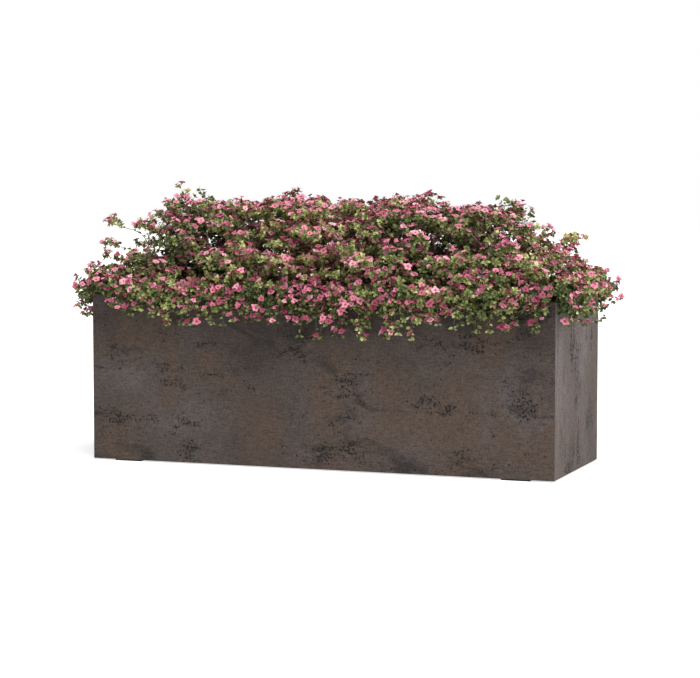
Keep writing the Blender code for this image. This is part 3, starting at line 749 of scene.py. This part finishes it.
# Arms that stand out past the ends, each as its tip and how much it rises towards it.
ARMS = (
    (-0.635, -0.04, 0.592, 0.15),
    (-0.590, 0.02, 0.585, 0.10),
    (-0.545, -0.06, 0.590, 0.20),
    (-0.520, 0.03, 0.614, 0.35),
    (-0.490, -0.02, 0.575, 0.10),
    (-0.615, -0.10, 0.540, 0.05),
    (-0.600, 0.06, 0.536, 0.10),
    (-0.660, -0.02, 0.504, 0.05),
    (-0.670, -0.10, 0.470, 0.00),
    (-0.680, 0.05, 0.468, 0.00),
    (-0.675, -0.12, 0.400, -0.25),
    (0.620, -0.02, 0.566, 0.10),
    (0.585, 0.05, 0.560, 0.15),
    (0.555, -0.08, 0.572, 0.20),
    (0.505, -0.03, 0.590, 0.30),
    (0.600, -0.12, 0.520, 0.05),
    (0.650, -0.05, 0.476, 0.10),
    (0.640, 0.08, 0.480, 0.05),
    (0.675, -0.12, 0.446, 0.10),
    (0.680, -0.03, 0.440, 0.10),
    (0.672, -0.14, 0.392, -0.20),
)
# Tips of the few shoots that stand above the rest.
LEADERS = (
    (-0.432, 0.00, 0.676),
    (-0.405, 0.04, 0.668),
    (-0.440, -0.04, 0.655),
    (-0.143, 0.02, 0.675),
    (-0.125, -0.03, 0.660),
    (0.226, 0.00, 0.664),
    (0.205, -0.05, 0.652),
    (0.420, 0.00, 0.654),
    (0.435, 0.04, 0.645),
)
print("tiers:", len(TIERS), "arms:", len(ARMS), "leaders:", len(LEADERS))


def top_height(x):
    """How high the planting reaches at a place along the box."""
    places, heights = zip(*TOP_LINE)
    return float(np.interp(x, places, heights))


# %% Tips, tier by tier
SPRAY_PITCH = 0.052
TIER_WANDER = 0.022
# The outer sprays stand in a skin of this thickness. Of the places inside it, this share is filled.
SKIN = 0.060
FILLED_INSIDE = 0.54
# A tier is a rectangle with its corners rounded by these powers, along and across.
ROUNDED = (5, 3)
# Near an end a spray points mostly along the box, and elsewhere mostly across it.
ACROSS_AT_ENDS = 0.4
ALONG_AT_SIDES = 0.7
YAW_WANDER = 0.6
ARM_SWAY = 0.3
LEADER_LEAN = (0.5, 0.4)
OUTER_LIFT = (-0.25, 0.60)
INNER_LIFT = (0.1, 0.8)
TOP_LIFT = (0.2, 1.0)
TOP_GAP = 0.010
TOP_WANDER = (-0.018, 0.010)


def cells_within(chance, reach_x, reach_y, shift):
    """Places on a loose grid inside a rounded rectangle around the middle."""
    columns = math.ceil(reach_x / SPRAY_PITCH)
    rows = math.ceil(reach_y / SPRAY_PITCH)
    for column in range(-columns, columns + 1):
        for row in range(-rows, rows + 1):
            x = SPRAY_PITCH * (column + shift + chance.uniform(-0.5, 0.5))
            y = SPRAY_PITCH * (row + chance.uniform(-0.5, 0.5))
            if (abs(x) / reach_x) ** ROUNDED[0] + (abs(y) / reach_y) ** ROUNDED[1] < 1:
                yield x, y


def heading_out(chance, x, y, reach_x, reach_y, lift):
    """Away from the middle, through the side that is nearest."""
    if reach_x - abs(x) < reach_y - abs(y):
        yaw = math.atan2(ACROSS_AT_ENDS * y, x)
    else:
        yaw = math.atan2(y, chance.uniform(-ALONG_AT_SIDES, ALONG_AT_SIDES) * abs(y))
    yaw += chance.uniform(-YAW_WANDER, YAW_WANDER)
    return Vector((math.cos(yaw), math.sin(yaw), lift)).normalized()


def tier_tips(chance):
    """Places for the sprays' tips, each with the direction in which its spray points."""
    tips = []
    for number, (level, reach_x, reach_y) in enumerate(TIERS):
        for x, y in cells_within(chance, reach_x, reach_y, 0.5 * (number % 2)):
            z = level + chance.uniform(-TIER_WANDER, TIER_WANDER)
            outer = min(reach_x - abs(x), reach_y - abs(y)) < SKIN
            if z > top_height(x) - TOP_GAP or not outer and chance.random() > FILLED_INSIDE:
                continue
            lift = chance.uniform(*(OUTER_LIFT if outer else INNER_LIFT))
            tips.append((Vector((x, y, z)), heading_out(chance, x, y, reach_x, reach_y, lift)))
    reach_x = TIERS[1][1]
    for x, y in cells_within(chance, reach_x, TIERS[0][2], 0):
        z = top_height(x) + chance.uniform(*TOP_WANDER)
        reach_y = float(np.interp(z, (RIM, FULL_HEIGHT), (TIERS[0][2], TOP_REACH)))
        if abs(y) < reach_y:
            lift = chance.uniform(*TOP_LIFT)
            tips.append((Vector((x, y, z)), heading_out(chance, x, y, reach_x, reach_y, lift)))
    return tips


def arm_tips(chance):
    """The arms' tips. Each arm points out past its end of the box."""
    tips = []
    for x, y, z, rise in ARMS:
        heading = Vector((math.copysign(1, x), chance.uniform(-ARM_SWAY, ARM_SWAY), rise))
        tips.append((Vector((x, y, z)), heading.normalized()))
    return tips


def leader_tips(chance):
    """The leaders' tips. Each leader stands nearly upright."""
    tips = []
    along, across = LEADER_LEAN
    for place in LEADERS:
        lean = Vector((chance.uniform(-along, along), chance.uniform(-across, across), 1))
        tips.append((Vector(place), lean.normalized()))
    return tips


# %% Tips that hang over the rim
# How low the planting hangs along the front.
HANG_LINE = (
    (-0.60, 0.425),
    (-0.55, 0.385),
    (-0.40, 0.352),
    (-0.20, 0.350),
    (0.00, 0.335),
    (0.14, 0.326),
    (0.27, 0.334),
    (0.38, 0.356),
    (0.50, 0.350),
    (0.60, 0.346),
)
HANG_PITCH = 0.024
HANG_START = 0.006
HANG_STEP = 0.022
HANG_SHARE = 0.85
HANG_WANDER = 0.012
OVER_EDGE = 0.014
OUT_PAST_SIDE = 0.020
OUT_PAST_END = 0.030
# Over the ends the sprays hang in three rows. The lower two are full near the front and sparse behind.
END_ROWS = (0.004, -0.022, -0.048)
END_FULL_BEFORE = -0.05
END_SHARES = (0.8, 0.25)


def hanging_tips(chance):
    """Sprays that bend down over the rim, with the direction out over the edge."""
    tips = []
    places, heights = zip(*HANG_LINE)
    steps = int(2 * HALF_LENGTH / HANG_PITCH)
    for side in (-1, 1):
        for step in range(steps):
            x = -HALF_LENGTH + HANG_PITCH * (step + chance.uniform(0.0, 1.0))
            lowest = float(np.interp(-side * x, places, heights))
            z = RIM + HANG_START
            while z > lowest:
                low = z + chance.uniform(-HANG_WANDER, HANG_WANDER)
                y = side * (HALF_DEPTH + OVER_EDGE + chance.uniform(0.0, OUT_PAST_SIDE))
                out = Vector((chance.uniform(-0.9, 0.9), side, 0)).normalized()
                if chance.random() < HANG_SHARE:
                    tips.append((Vector((x + chance.uniform(-HANG_WANDER, HANG_WANDER), y, low)), out))
                z -= HANG_STEP
    steps = int(2 * HALF_DEPTH / HANG_PITCH)
    for side in (-1, 1):
        for step in range(steps):
            y = -HALF_DEPTH + HANG_PITCH * (step + chance.uniform(0.0, 1.0))
            share = END_SHARES[0] if y < END_FULL_BEFORE else END_SHARES[1]
            for row in END_ROWS:
                z = RIM + row
                if row < 0 and chance.random() > share:
                    continue
                x = side * (HALF_LENGTH + OVER_EDGE + chance.uniform(0.0, OUT_PAST_END))
                out = Vector((side, chance.uniform(-0.7, 0.7), 0)).normalized()
                tips.append((Vector((x, y, z + chance.uniform(-0.010, 0.010))), out))
    return tips


# %% [markdown]
# # Wood
#
# The wood is drawn as lines with a thickness at each point, and one curve with a round bevel turns them all into
# tapering twigs. Main stems rise from the root ball and lean out. A spray's own twig starts on the nearest stem.

# %% Stems
MAIN_STEMS = (4, 3)
STEM_RADIUS = 0.0042
TWIG_RADIUS = 0.0012
# Stems stand on a ring in the root ball and end inside the crown, drawn in to these shares along and across.
STEM_RING = 0.026
STEM_DEPTH = 0.02
ENDS_ALONG = 0.86
ENDS_ACROSS = 0.8
ENDS_HIGH = (0.62, 0.86)
# How far out and up a stem has come at its two bends.
FIRST_BEND = (0.16, 0.45)
SECOND_BEND = (0.62, 0.82)
STEM_POINTS = 14
# For each metre that a fork lies above the spray's foot, it counts as this much further away.
CLIMB_COST = 4
# The first points of a stem, down in the root ball, carry no fork.
LOWEST_FORK = 2


def main_stems(chance, low, high, middle):
    """Stems that rise from around the middle and lean out to a grid of ends inside a crown's box."""
    stems = []
    columns, rows = MAIN_STEMS
    for column in range(columns):
        for row in range(rows):
            x = low.x + (high.x - low.x) * (column + chance.uniform(0.25, 0.75)) / columns
            y = low.y + (high.y - low.y) * (row + chance.uniform(0.25, 0.75)) / rows
            x = middle.x + ENDS_ALONG * (x - middle.x)
            y = ENDS_ACROSS * y
            around = chance.uniform(0, 2 * math.pi)
            root = middle + STEM_RING * Vector((math.cos(around), math.sin(around), 0))
            z = SOIL + (top_height(x) - SOIL) * chance.uniform(*ENDS_HIGH)
            end = Vector((x, y, z))
            out = Vector((end.x - root.x, end.y - root.y, 0))
            first, second = (
                root + along * out + Vector((0, 0, up * (z - SOIL))) for along, up in (FIRST_BEND, SECOND_BEND)
            )
            stems.append(interpolate_bezier(root - Vector((0, 0, STEM_DEPTH)), first, second, end, STEM_POINTS))
    return stems


def nearest_on(stems, place):
    """The stem point that a spray starting at a place would grow from: close, and not above it."""
    best = None
    for number, stem in enumerate(stems):
        for index in range(LOWEST_FORK, len(stem)):
            point = stem[index]
            cost = (place - point).length + CLIMB_COST * max(0, point.z - place.z)
            if best is None or cost < best[0]:
                best = (cost, number, index)
    return best[1], best[2]


# %% A spray
UP = Vector((0, 0, 1))
SPRAY_LENGTH = (0.060, 0.095)
HANGING_LENGTH = (0.070, 0.095)
# A hanging spray starts and crests at these heights above the rim, and its crest is this far short of its tip.
HANGING_FOOT = 0.022
HANGING_CREST = 0.026
CREST_SHORT = 0.012
LEAF_SPACING = 0.0056
LEAF_SIZES = (0.60, 1.16)
ROSETTE_SIZES = (0.7, 1.12)
FLOWER_SIZES = (0.66, 1.08)
FLOWER_KINDS = (OPEN_FLOWER, HALF_OPEN_FLOWER, BUD)
FLOWER_SHARES = (0.52, 0.36, 0.12)
LEAF_TONE_SPREAD = 0.19
PETAL_TONE_SPREAD = 0.30
HANGING_BLOOM = 0.82
# Hanging sprays take lower leaf and petal tones, which are painted shade under the overhang.
HANGING_PAINTED_SHADE = 0.20
FEWEST_FLOWERS = 0.16
# A rosette's fewest and most leaves, and the numbers of flowers that a cluster is drawn from.
ROSETTE_LEAVES = (5, 7)
CLUSTER_FLOWERS = (1, 1, 2, 2, 3, 4)
# A twig's thickness at its foot, and how much of it is lost on the way, as shares of TWIG_RADIUS.
TWIG_FOOT = 1.25
TWIG_TAPER = 0.85
SHOOT_FOOT = 0.5
SHOOT_TAPER = 0.15
# Side shoots leave a spray between these shares of the way along it.
SHOOTS = (4, 5)
FIRST_SHOOT = 0.18
FIRST_HANGING_SHOOT = 0.42
LAST_SHOOT = 0.86
SHOOT_REACH = (0.26, 0.46)
# The link to the stem has leaves on its outer part where it is long enough, a little darker than the spray's, as
# painted shade inside the crown.
LEAFY_LINK = 0.03
LINK_BARE_TO = 0.45
LINK_PAINTED_SHADE = 0.12


def spray_line(tip, heading, length, hang):
    """The points of a spray's own twig, from its foot to its tip. A hanging one climbs over the rim first."""
    if hang:
        foot = Vector((tip.x, tip.y, 0)) - heading * length
        foot.z = RIM + HANGING_FOOT
        crest = Vector((tip.x, tip.y, RIM + HANGING_CREST)) - heading * CREST_SHORT
        return interpolate_bezier(foot, foot + heading * 0.5 * length + UP * 0.010, crest, tip, 9)
    flat = Vector((heading.x, heading.y, 0.35 * heading.z)).normalized()
    foot = tip - heading * length - UP * 0.10 * length
    return interpolate_bezier(foot, foot + heading * 0.4 * length, tip - flat * 0.35 * length, tip, 8)


def along_line(line, share):
    """The place and the direction at a share of the way along a line of points."""
    at = share * (len(line) - 1)
    index = min(int(at), len(line) - 2)
    step = line[index + 1] - line[index]
    return line[index] + step * (at - index), step.normalized()


def wobble(chance, by):
    """A small push in any direction."""
    return Vector([chance.uniform(-by, by) for _ in range(3)])


def leafy(chance, shrub, line, start, tone, outward):
    """Stands leaves along both sides of a twig, from a share of the way along to its tip."""
    length = sum((b - a).length for a, b in zip(line, line[1:]))
    count = max(1, int(length * (1 - start) / LEAF_SPACING))
    for number in range(count):
        place, direction = along_line(line, start + (1 - start) * (number + chance.random()) / count)
        side = direction.cross(UP).normalized() * (1 if number % 2 else -1)
        lean = chance.uniform(0.2, 0.9)
        along = direction * lean + side + UP * chance.uniform(-0.35, 0.75)
        up = UP * 0.6 + outward * 0.55 + wobble(chance, 0.75)
        size = chance.uniform(*LEAF_SIZES)
        shrub["leaves"].append((LEAF, facing(place, along, up, size), one_tone(chance, tone, LEAF_TONE_SPREAD)))


def one_tone(chance, tone, spread):
    """One of the tones, drawn around a share of the way from the darkest to the palest."""
    return max(0, min(TONES - 1, int(TONES * chance.gauss(tone, spread))))


def rosette(chance, shrub, place, direction, tone, outward):
    """The whorl of leaves at a twig's tip."""
    first = chance.uniform(0, 2 * math.pi)
    leaves = chance.randint(*ROSETTE_LEAVES)
    side = direction.cross(UP).normalized()
    other = side.cross(direction)
    for number in range(leaves):
        angle = first + 2 * math.pi * number / leaves
        out = side * math.cos(angle) + other * math.sin(angle)
        along = out + direction * chance.uniform(0.2, 0.9) + UP * 0.15
        up = direction * 0.5 + UP * 0.6 + outward * 0.3 + wobble(chance, 0.4)
        size = chance.uniform(*ROSETTE_SIZES)
        shrub["leaves"].append((LEAF, facing(place, along, up, size), one_tone(chance, tone, LEAF_TONE_SPREAD)))


def cluster(chance, shrub, place, direction, tone, outward, hang):
    """One to four flowers on short stalks at a twig's tip, looking up. Those that hang look outward."""
    count = chance.choice(CLUSTER_FLOWERS)
    first = chance.uniform(0, 2 * math.pi)
    up = outward * 0.5 + UP * 0.8 if hang else UP * 1.1 + direction * 0.3
    for number in range(count):
        angle = first + 2 * math.pi * number / count
        apart = Vector((math.cos(angle), math.sin(angle), 0))
        spread = 0.0055 + 0.0015 * count if count > 1 else 0
        face = up + apart * (0.45 if count > 1 else 0) + wobble(chance, 0.55)
        centre = place + apart * spread + UP * chance.uniform(0.001, 0.013) + outward * 0.003
        kind = chance.choices(FLOWER_KINDS, FLOWER_SHARES)[0]
        spin = Matrix.Rotation(chance.uniform(0, 2 * math.pi), 4, "Z")
        turn = face.to_track_quat("Z", "Y").to_matrix().to_4x4()
        matrix = Matrix.Translation(centre) @ turn @ spin @ Matrix.Scale(chance.uniform(*FLOWER_SIZES), 4)
        shrub["flowers"].append((kind, matrix, one_tone(chance, tone, PETAL_TONE_SPREAD)))


def blooming(tip):
    """The share of twigs that carry flowers: most in the middle and on top, few low down and at the ends."""
    high = (tip.z - RIM) / (top_height(tip.x) - RIM)
    middle = 1 - abs(tip.x + 0.04) / 0.68
    patch = math.sin(23.0 * tip.x + 1.3) * math.sin(31.0 * tip.z + 17.0 * tip.y)
    return max(FEWEST_FLOWERS, 0.36 + 0.28 * min(1, max(0, high)) + 0.26 * middle + 0.20 * patch)


def grow_spray(chance, shrub, tip, heading, hang=False):
    """Adds one spray and the twig that joins it to the nearest main stem."""
    length = chance.uniform(*(HANGING_LENGTH if hang else SPRAY_LENGTH))
    line = spray_line(tip, heading, length, hang)
    number, index = nearest_on(shrub["stems"], line[0])
    stem = shrub["stems"][number]
    fork = stem[index]
    rise = (stem[index] - stem[index - 1]).normalized()
    gap = (line[0] - fork).length
    arrive = (line[1] - line[0]).normalized()
    link = interpolate_bezier(fork, fork + rise * 0.4 * gap, line[0] - arrive * 0.4 * gap, line[0], 7)
    twig = link[:-1] + line
    thick = [TWIG_RADIUS * (TWIG_FOOT - TWIG_TAPER * i / len(twig)) for i in range(len(twig))]
    shrub["wood"].append(list(zip(twig, thick)))

    outward = Vector((heading.x, heading.y, 0)).normalized()
    green = 0.52 + 0.20 * math.sin(9.0 * tip.x + 2.0) * math.sin(14.0 * tip.z) + chance.uniform(-0.18, 0.18)
    pink = chance.uniform(0.25, 0.65)
    # Painted shade: a hanging spray's leaves and flowers take darker tones.
    if hang:
        green -= HANGING_PAINTED_SHADE
        pink -= HANGING_PAINTED_SHADE
    flowering = blooming(tip) * (HANGING_BLOOM if hang else 1)
    # Painted shade: leaves along a long link take a lower tone than the spray's.
    if gap > LEAFY_LINK:
        leafy(chance, shrub, link, LINK_BARE_TO, green - LINK_PAINTED_SHADE, outward)
    leafy(chance, shrub, line, 0.1, green, outward)
    rosette(chance, shrub, *along_line(line, 1), green, outward)
    if chance.random() < flowering + 0.1:
        cluster(chance, shrub, *along_line(line, 1), pink, outward, hang)
    shoots = chance.randint(*SHOOTS)
    first = FIRST_HANGING_SHOOT if hang else FIRST_SHOOT
    for shoot in range(shoots):
        share = first + (LAST_SHOOT - first) * (shoot + chance.uniform(0.1, 0.9)) / shoots
        place, direction = along_line(line, share)
        side = direction.cross(UP).normalized() * (1 if shoot % 2 else -1)
        aim = (direction * chance.uniform(0.5, 1.0) + side + UP * chance.uniform(-0.25, 0.5)).normalized()
        reach = length * chance.uniform(*SHOOT_REACH) * (1.15 - 0.4 * share)
        end = place + aim * reach + UP * 0.004
        small = [place, place + aim * 0.5 * reach, end]
        thick = [TWIG_RADIUS * (SHOOT_FOOT - SHOOT_TAPER * i) for i in range(len(small))]
        shrub["wood"].append(list(zip(small, thick)))
        leafy(chance, shrub, small, 0.15, green, outward)
        rosette(chance, shrub, end, aim, green, outward)
        if chance.random() < flowering:
            cluster(chance, shrub, end, aim, pink, outward, hang)


# %% [markdown]
# # Finishes of the planting
#
# A leaf is darker between its ribs and has a pale midrib. Young leaves are yellow-green and a few turn orange at the
# tips, which the tone of each copy picks. A petal is deep magenta at the throat and lightens to pink at the rim.

# %% Leaf and petal finishes
def leaf_finish():
    finish = Finish("leaves", {"Specular IOR Level": 0.3})
    tone = finish.node("Attribute", {"attribute_name": "tone"}, {}, output="Fac")
    blade = finish.node("SeparateXYZ", {}, {0: finish.node("UVMap", {"uv_map": "blade"})})
    along = Value(finish, blade.socket.node.outputs["Y"])
    colour = finish.ramp(
        tone,
        (0.00, paint(0.030, 0.045, 0.013)),
        (0.25, paint(0.085, 0.110, 0.028)),
        (0.50, paint(0.215, 0.250, 0.078)),
        (0.72, paint(0.390, 0.430, 0.148)),
        (0.86, paint(0.600, 0.605, 0.275)),
        (0.93, paint(0.450, 0.270, 0.130)),
        (1.00, paint(0.280, 0.110, 0.065)),
    )
    rib = (blade - 0.5).at_least(0.5 - blade).step(0.10, 0.03)
    colour = finish.mix(rib * 0.45, colour, paint(0.34, 0.40, 0.16))
    colour = finish.tint(colour, 0.80 + 0.35 * along)
    return finish.wear(colour, 0.42 + 0.16 * along, 1 - rib, depth=0.0003)


def petal_finish():
    finish = Finish("petals", {"Specular IOR Level": 0.2})
    tone = finish.node("Attribute", {"attribute_name": "tone"}, {}, output="Fac")
    blade = finish.node("SeparateXYZ", {}, {0: finish.node("UVMap", {"uv_map": "blade"})})
    along = Value(finish, blade.socket.node.outputs["Y"])
    rim = finish.ramp(
        tone,
        (0.00, paint(0.300, 0.060, 0.105)),
        (0.30, paint(0.560, 0.160, 0.230)),
        (0.60, paint(0.700, 0.250, 0.330)),
        (1.00, paint(0.820, 0.440, 0.500)),
    )
    throat = paint(0.32, 0.040, 0.100)
    colour = finish.mix(along.step(0.16, 0.52), throat, rim)
    veins = finish.node("TexWave", {"bands_direction": "X"}, {
        "Vector": finish.node("UVMap", {"uv_map": "blade"}),
        "Scale": 2.4,
    })
    colour = finish.tint(colour, 0.86 + 0.2 * veins)
    colour = finish.mix(along.step(0.17, 0.10), colour, paint(0.14, 0.20, 0.06))
    return finish.wear(colour, 0.55 + 0.1 * veins)


LEAF_FINISH = leaf_finish()
PETAL_FINISH = petal_finish()
print("leaf and petal nodes:", len(LEAF_FINISH.node_tree.nodes), len(PETAL_FINISH.node_tree.nodes))


# %% Bark
def bark_finish():
    """Grey-brown bark with fine cracks up the stem, in patches of darker brown and paler grey-brown."""
    finish = Finish("bark")
    where = finish.places()
    plates = finish.noise(finish.places((1, 1, 4)), 0.003, detail=4, roughness=0.6)
    patch = finish.noise(where, 0.02)
    colour = finish.mix(patch.step(0.4, 0.65), paint(0.115, 0.078, 0.050), paint(0.165, 0.135, 0.100))
    colour = finish.tint(colour, 0.5 + plates)
    return finish.wear(colour, 0.75 + 0.2 * plates, plates, depth=0.0004)


BARK = bark_finish()
print("bark nodes:", len(BARK.node_tree.nodes))


# %% [markdown]
# # Root balls and the face of the soil
#
# A shrub from a 3-litre pot keeps the pot's shape below ground, as a ball of compost held by pale hair roots. The
# soil around it is loose: a crumbled face with lumps and bits of bark lying on it. Both are made from plain shapes
# that random draws push about.

# %% Root ball
BALL_ROUGHNESS = 0.0012
BALL_BELOW_FACE = 0.0002


def root_ball_mesh(chance, number):
    """The part of the model's roots below the soil's face, with a rough skin."""
    source = frame["nodes"][f"shrub_{number}_roots_and_stems"]
    shape = bmesh.new()
    shape.from_mesh(source.data)
    shape.transform(source.matrix_world)
    bmesh.ops.remove_doubles(shape, verts=shape.verts, dist=POINTS_MEET)
    whole = shape.verts[:] + shape.edges[:] + shape.faces[:]
    cut = (0, 0, SOIL - BALL_BELOW_FACE)
    bmesh.ops.bisect_plane(shape, geom=whole, plane_co=cut, plane_no=UP, clear_outer=True)
    bmesh.ops.holes_fill(shape, edges=[edge for edge in shape.edges if edge.is_boundary])
    bmesh.ops.subdivide_edges(shape, edges=shape.edges[:], cuts=2, use_grid_fill=True)
    bmesh.ops.recalc_face_normals(shape, faces=shape.faces)
    shape.normal_update()
    for vertex in shape.verts:
        vertex.co -= vertex.normal * chance.uniform(0, BALL_ROUGHNESS)
    return mesh_from(f"shrub_{number}_root_ball", shape)


def root_ball_finish():
    """Compost laced with pale roots, which run round the ball as they did inside the pot."""
    finish = Finish("root_ball")
    where = finish.places()
    crumbs = finish.noise(where, 0.005, detail=4)
    web = finish.cells(finish.places((1, 1, 1.6)), 0.014, "DISTANCE_TO_EDGE")
    roots = web.step(0.07, 0.02) * finish.noise(where, 0.02).step(0.35, 0.5)
    colour = finish.mix(crumbs.step(0.3, 0.7), paint(0.020, 0.013, 0.009), paint(0.070, 0.046, 0.030))
    colour = finish.mix(roots * 0.8, colour, paint(0.42, 0.33, 0.22))
    return finish.wear(colour, 0.9 - 0.25 * roots, crumbs + 0.8 * roots, depth=0.0015)


# %% The soil's face
FACE_STEP = 0.010
FACE_SUNK = 0.003
FACE_RISE = 0.007
FACE_INSET = 0.002
FACE_LIFT = 0.001
FACE_SWELL = 0.55
SWELLS_PER_METRE = 14
SOIL_CORNER = 0.018
CRUMBS = 900
CRUMB_RADIUS = 0.0018
CRUMB_GROWTH = 0.0045
CRUMB_MARGIN = 0.012
CRUMB_LIFT = 0.0035


def put_in_order(elements, place_of):
    """Sorts vertices or faces by where they are, because extruding can leave them in another order each run."""
    for number, element in enumerate(sorted(elements, key=lambda element: place_of(element)[:])):
        element.index = number
    elements.sort()


def soil_face_mesh(chance):
    """A thin crumbled layer over the soil and the root balls, with lumps on it."""
    length = soil_high.x - soil_low.x - 2 * FACE_INSET
    depth = soil_high.y - soil_low.y - 2 * FACE_INSET
    shape = bmesh.new()
    columns, rows = int(length / FACE_STEP), int(depth / FACE_STEP)
    bmesh.ops.create_grid(shape, x_segments=columns, y_segments=rows, size=0.5)
    bmesh.ops.scale(shape, vec=(length, depth, 1), verts=shape.verts)
    bmesh.ops.translate(shape, vec=(0, 0, SOIL + FACE_LIFT), verts=shape.verts)
    corner = Vector((length / 2, depth / 2)) - Vector((SOIL_CORNER, SOIL_CORNER))
    for vertex in shape.verts:
        past = Vector((abs(vertex.co.x) - corner.x, abs(vertex.co.y) - corner.y))
        if min(past) > 0 and past.length > SOIL_CORNER:
            pulled = corner + past.normalized() * SOIL_CORNER
            vertex.co.x = math.copysign(pulled.x, vertex.co.x)
            vertex.co.y = math.copysign(pulled.y, vertex.co.y)
        if not vertex.is_boundary:
            swell = 0.5 + 0.5 * noise.noise(vertex.co * SWELLS_PER_METRE)
            vertex.co.z += FACE_RISE * (FACE_SWELL * swell + 0.45 * chance.random())
            vertex.co.xy += Vector((chance.uniform(-1, 1), chance.uniform(-1, 1))) * 0.3 * FACE_STEP
    skirt = bmesh.ops.extrude_face_region(shape, geom=shape.faces[:])
    lower = [item for item in skirt["geom"] if isinstance(item, bmesh.types.BMVert)]
    for vertex in lower:
        vertex.co.z = SOIL - FACE_SUNK
    for _ in range(CRUMBS):
        radius = CRUMB_RADIUS + CRUMB_GROWTH * chance.random() ** 3
        x = chance.uniform(-1, 1) * (length / 2 - CRUMB_MARGIN)
        y = chance.uniform(-1, 1) * (depth / 2 - CRUMB_MARGIN)
        turn = Matrix.Rotation(chance.uniform(0, math.pi), 4, "Z")
        tilt = Matrix.Rotation(chance.uniform(-0.6, 0.6), 4, "X")
        stretch = Matrix.Diagonal((chance.uniform(0.8, 1.7), chance.uniform(0.7, 1.1), chance.uniform(0.5, 0.9), 1))
        place = Matrix.Translation((x, y, SOIL + CRUMB_LIFT + 0.5 * FACE_RISE * chance.random()))
        bmesh.ops.create_icosphere(shape, subdivisions=1, radius=radius, matrix=place @ (turn @ tilt) @ stretch)
    put_in_order(shape.verts, lambda vertex: vertex.co)
    put_in_order(shape.faces, lambda face: face.calc_center_median())
    bmesh.ops.recalc_face_normals(shape, faces=shape.faces)
    return mesh_from("soil_face", shape)


# %% [markdown]
# # Growing
#
# Now the tips are drawn and each spray is given to the shrub whose root is nearest. All the twigs of a shrub are one
# curve, which is turned into a mesh, because a bevelled curve keeps round twigs whole where they bend. The caps that
# close the twigs' ends come loose from the rest, so points that meet are merged.

# %% Wood from lines
BEVEL_UNITS_PER_METRE = 1000
CAPS_MEET = 1e-6


def wood_mesh(name, lines):
    """One mesh of round, tapering twigs. A point's radius counts bevel units, which are millimetres."""
    curve = bpy.data.curves.new(name, "CURVE")
    curve.dimensions = "3D"
    curve.bevel_depth = 1 / BEVEL_UNITS_PER_METRE
    curve.bevel_resolution = 0
    curve.use_fill_caps = True
    for line in lines:
        spline = curve.splines.new("POLY")
        spline.points.add(len(line) - 1)
        for point, (place, radius) in zip(spline.points, line):
            point.co = (*place, 1)
            point.radius = radius * BEVEL_UNITS_PER_METRE
    holder = bpy.data.objects.new(name, curve)
    bpy.context.scene.collection.objects.link(holder)
    graph = bpy.context.evaluated_depsgraph_get()
    mesh = bpy.data.meshes.new_from_object(holder.evaluated_get(graph))
    bpy.data.objects.remove(holder)
    shape = bmesh.new()
    shape.from_mesh(mesh)
    bmesh.ops.remove_doubles(shape, verts=shape.verts, dist=CAPS_MEET)
    shape.to_mesh(mesh)
    shape.free()
    mesh.name = name
    mesh.materials.clear()
    mesh.shade_smooth()
    return mesh


# %% Roots and stems
SEED = 7
STEM_TAPER = 0.72

chance = random.Random(SEED)
shrubs = []
for crown in CROWNS:
    low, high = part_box(crown)
    number = crown.split("_")[1]
    root_low, root_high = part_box(f"shrub_{number}_roots_and_stems")
    middle = Vector(((root_low.x + root_high.x) / 2, (root_low.y + root_high.y) / 2, SOIL))
    shrub = {"number": number, "middle": middle, "wood": [], "leaves": [], "flowers": []}
    shrub["stems"] = main_stems(chance, low, high, middle)
    for stem in shrub["stems"]:
        count = len(stem)
        shrub["wood"].append([(p, STEM_RADIUS * (1 - STEM_TAPER * i / count)) for i, p in enumerate(stem)])
    shrubs.append(shrub)
print("stems:", sum(len(shrub["stems"]) for shrub in shrubs))


# %% Sprays
def shrub_of(x, shrubs):
    """The shrub whose root is nearest along the box."""
    return min(shrubs, key=lambda shrub: abs(shrub["middle"].x - x))


for tip, heading in tier_tips(chance):
    grow_spray(chance, shrub_of(tip.x, shrubs), tip, heading)
for tip, heading in arm_tips(chance) + leader_tips(chance):
    grow_spray(chance, shrub_of(tip.x, shrubs), tip, heading)
for tip, heading in hanging_tips(chance):
    grow_spray(chance, shrub_of(tip.x, shrubs), tip, heading, hang=True)
print("twigs:", sum(len(shrub["wood"]) for shrub in shrubs))

# %% Pieces
ROOT_BALL = root_ball_finish()
for shrub in shrubs:
    name = "shrub_" + shrub["number"]
    crown, roots = name + "_crown", name + "_roots_and_stems"
    leaves = scattered(name + "_leaves", shrub["leaves"])
    add_piece(name + "_leaves", leaves, LEAF_FINISH, "leaves", crown)
    flowers = scattered(name + "_flowers", shrub["flowers"])
    add_piece(name + "_flowers", flowers, PETAL_FINISH, "petals", crown)
    wood = wood_mesh(name + "_wood", shrub["wood"])
    add_piece(name + "_wood", wood, BARK, "bark", roots)
    ball = root_ball_mesh(chance, shrub["number"])
    add_piece(name + "_root_ball", ball, ROOT_BALL, "bark", roots)
    print(name, len(shrub["leaves"]), "leaves", len(shrub["flowers"]), "flowers", len(shrub["wood"]), "twigs")

add_piece("soil_face", soil_face_mesh(chance), COMPOST, "compost")


# %% [markdown]
# # Sizes
#
# Leaves may reach a little past the model's plain crowns, but not far. The box of the model and the box of what is
# seen now are both written down, so that they can be compared.

# %% Sizes
visual_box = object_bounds()
[[list(corner) for corner in box] for box in (model_box, visual_box)]
print("visual", [round(v, 3) for corner in visual_box for v in corner])
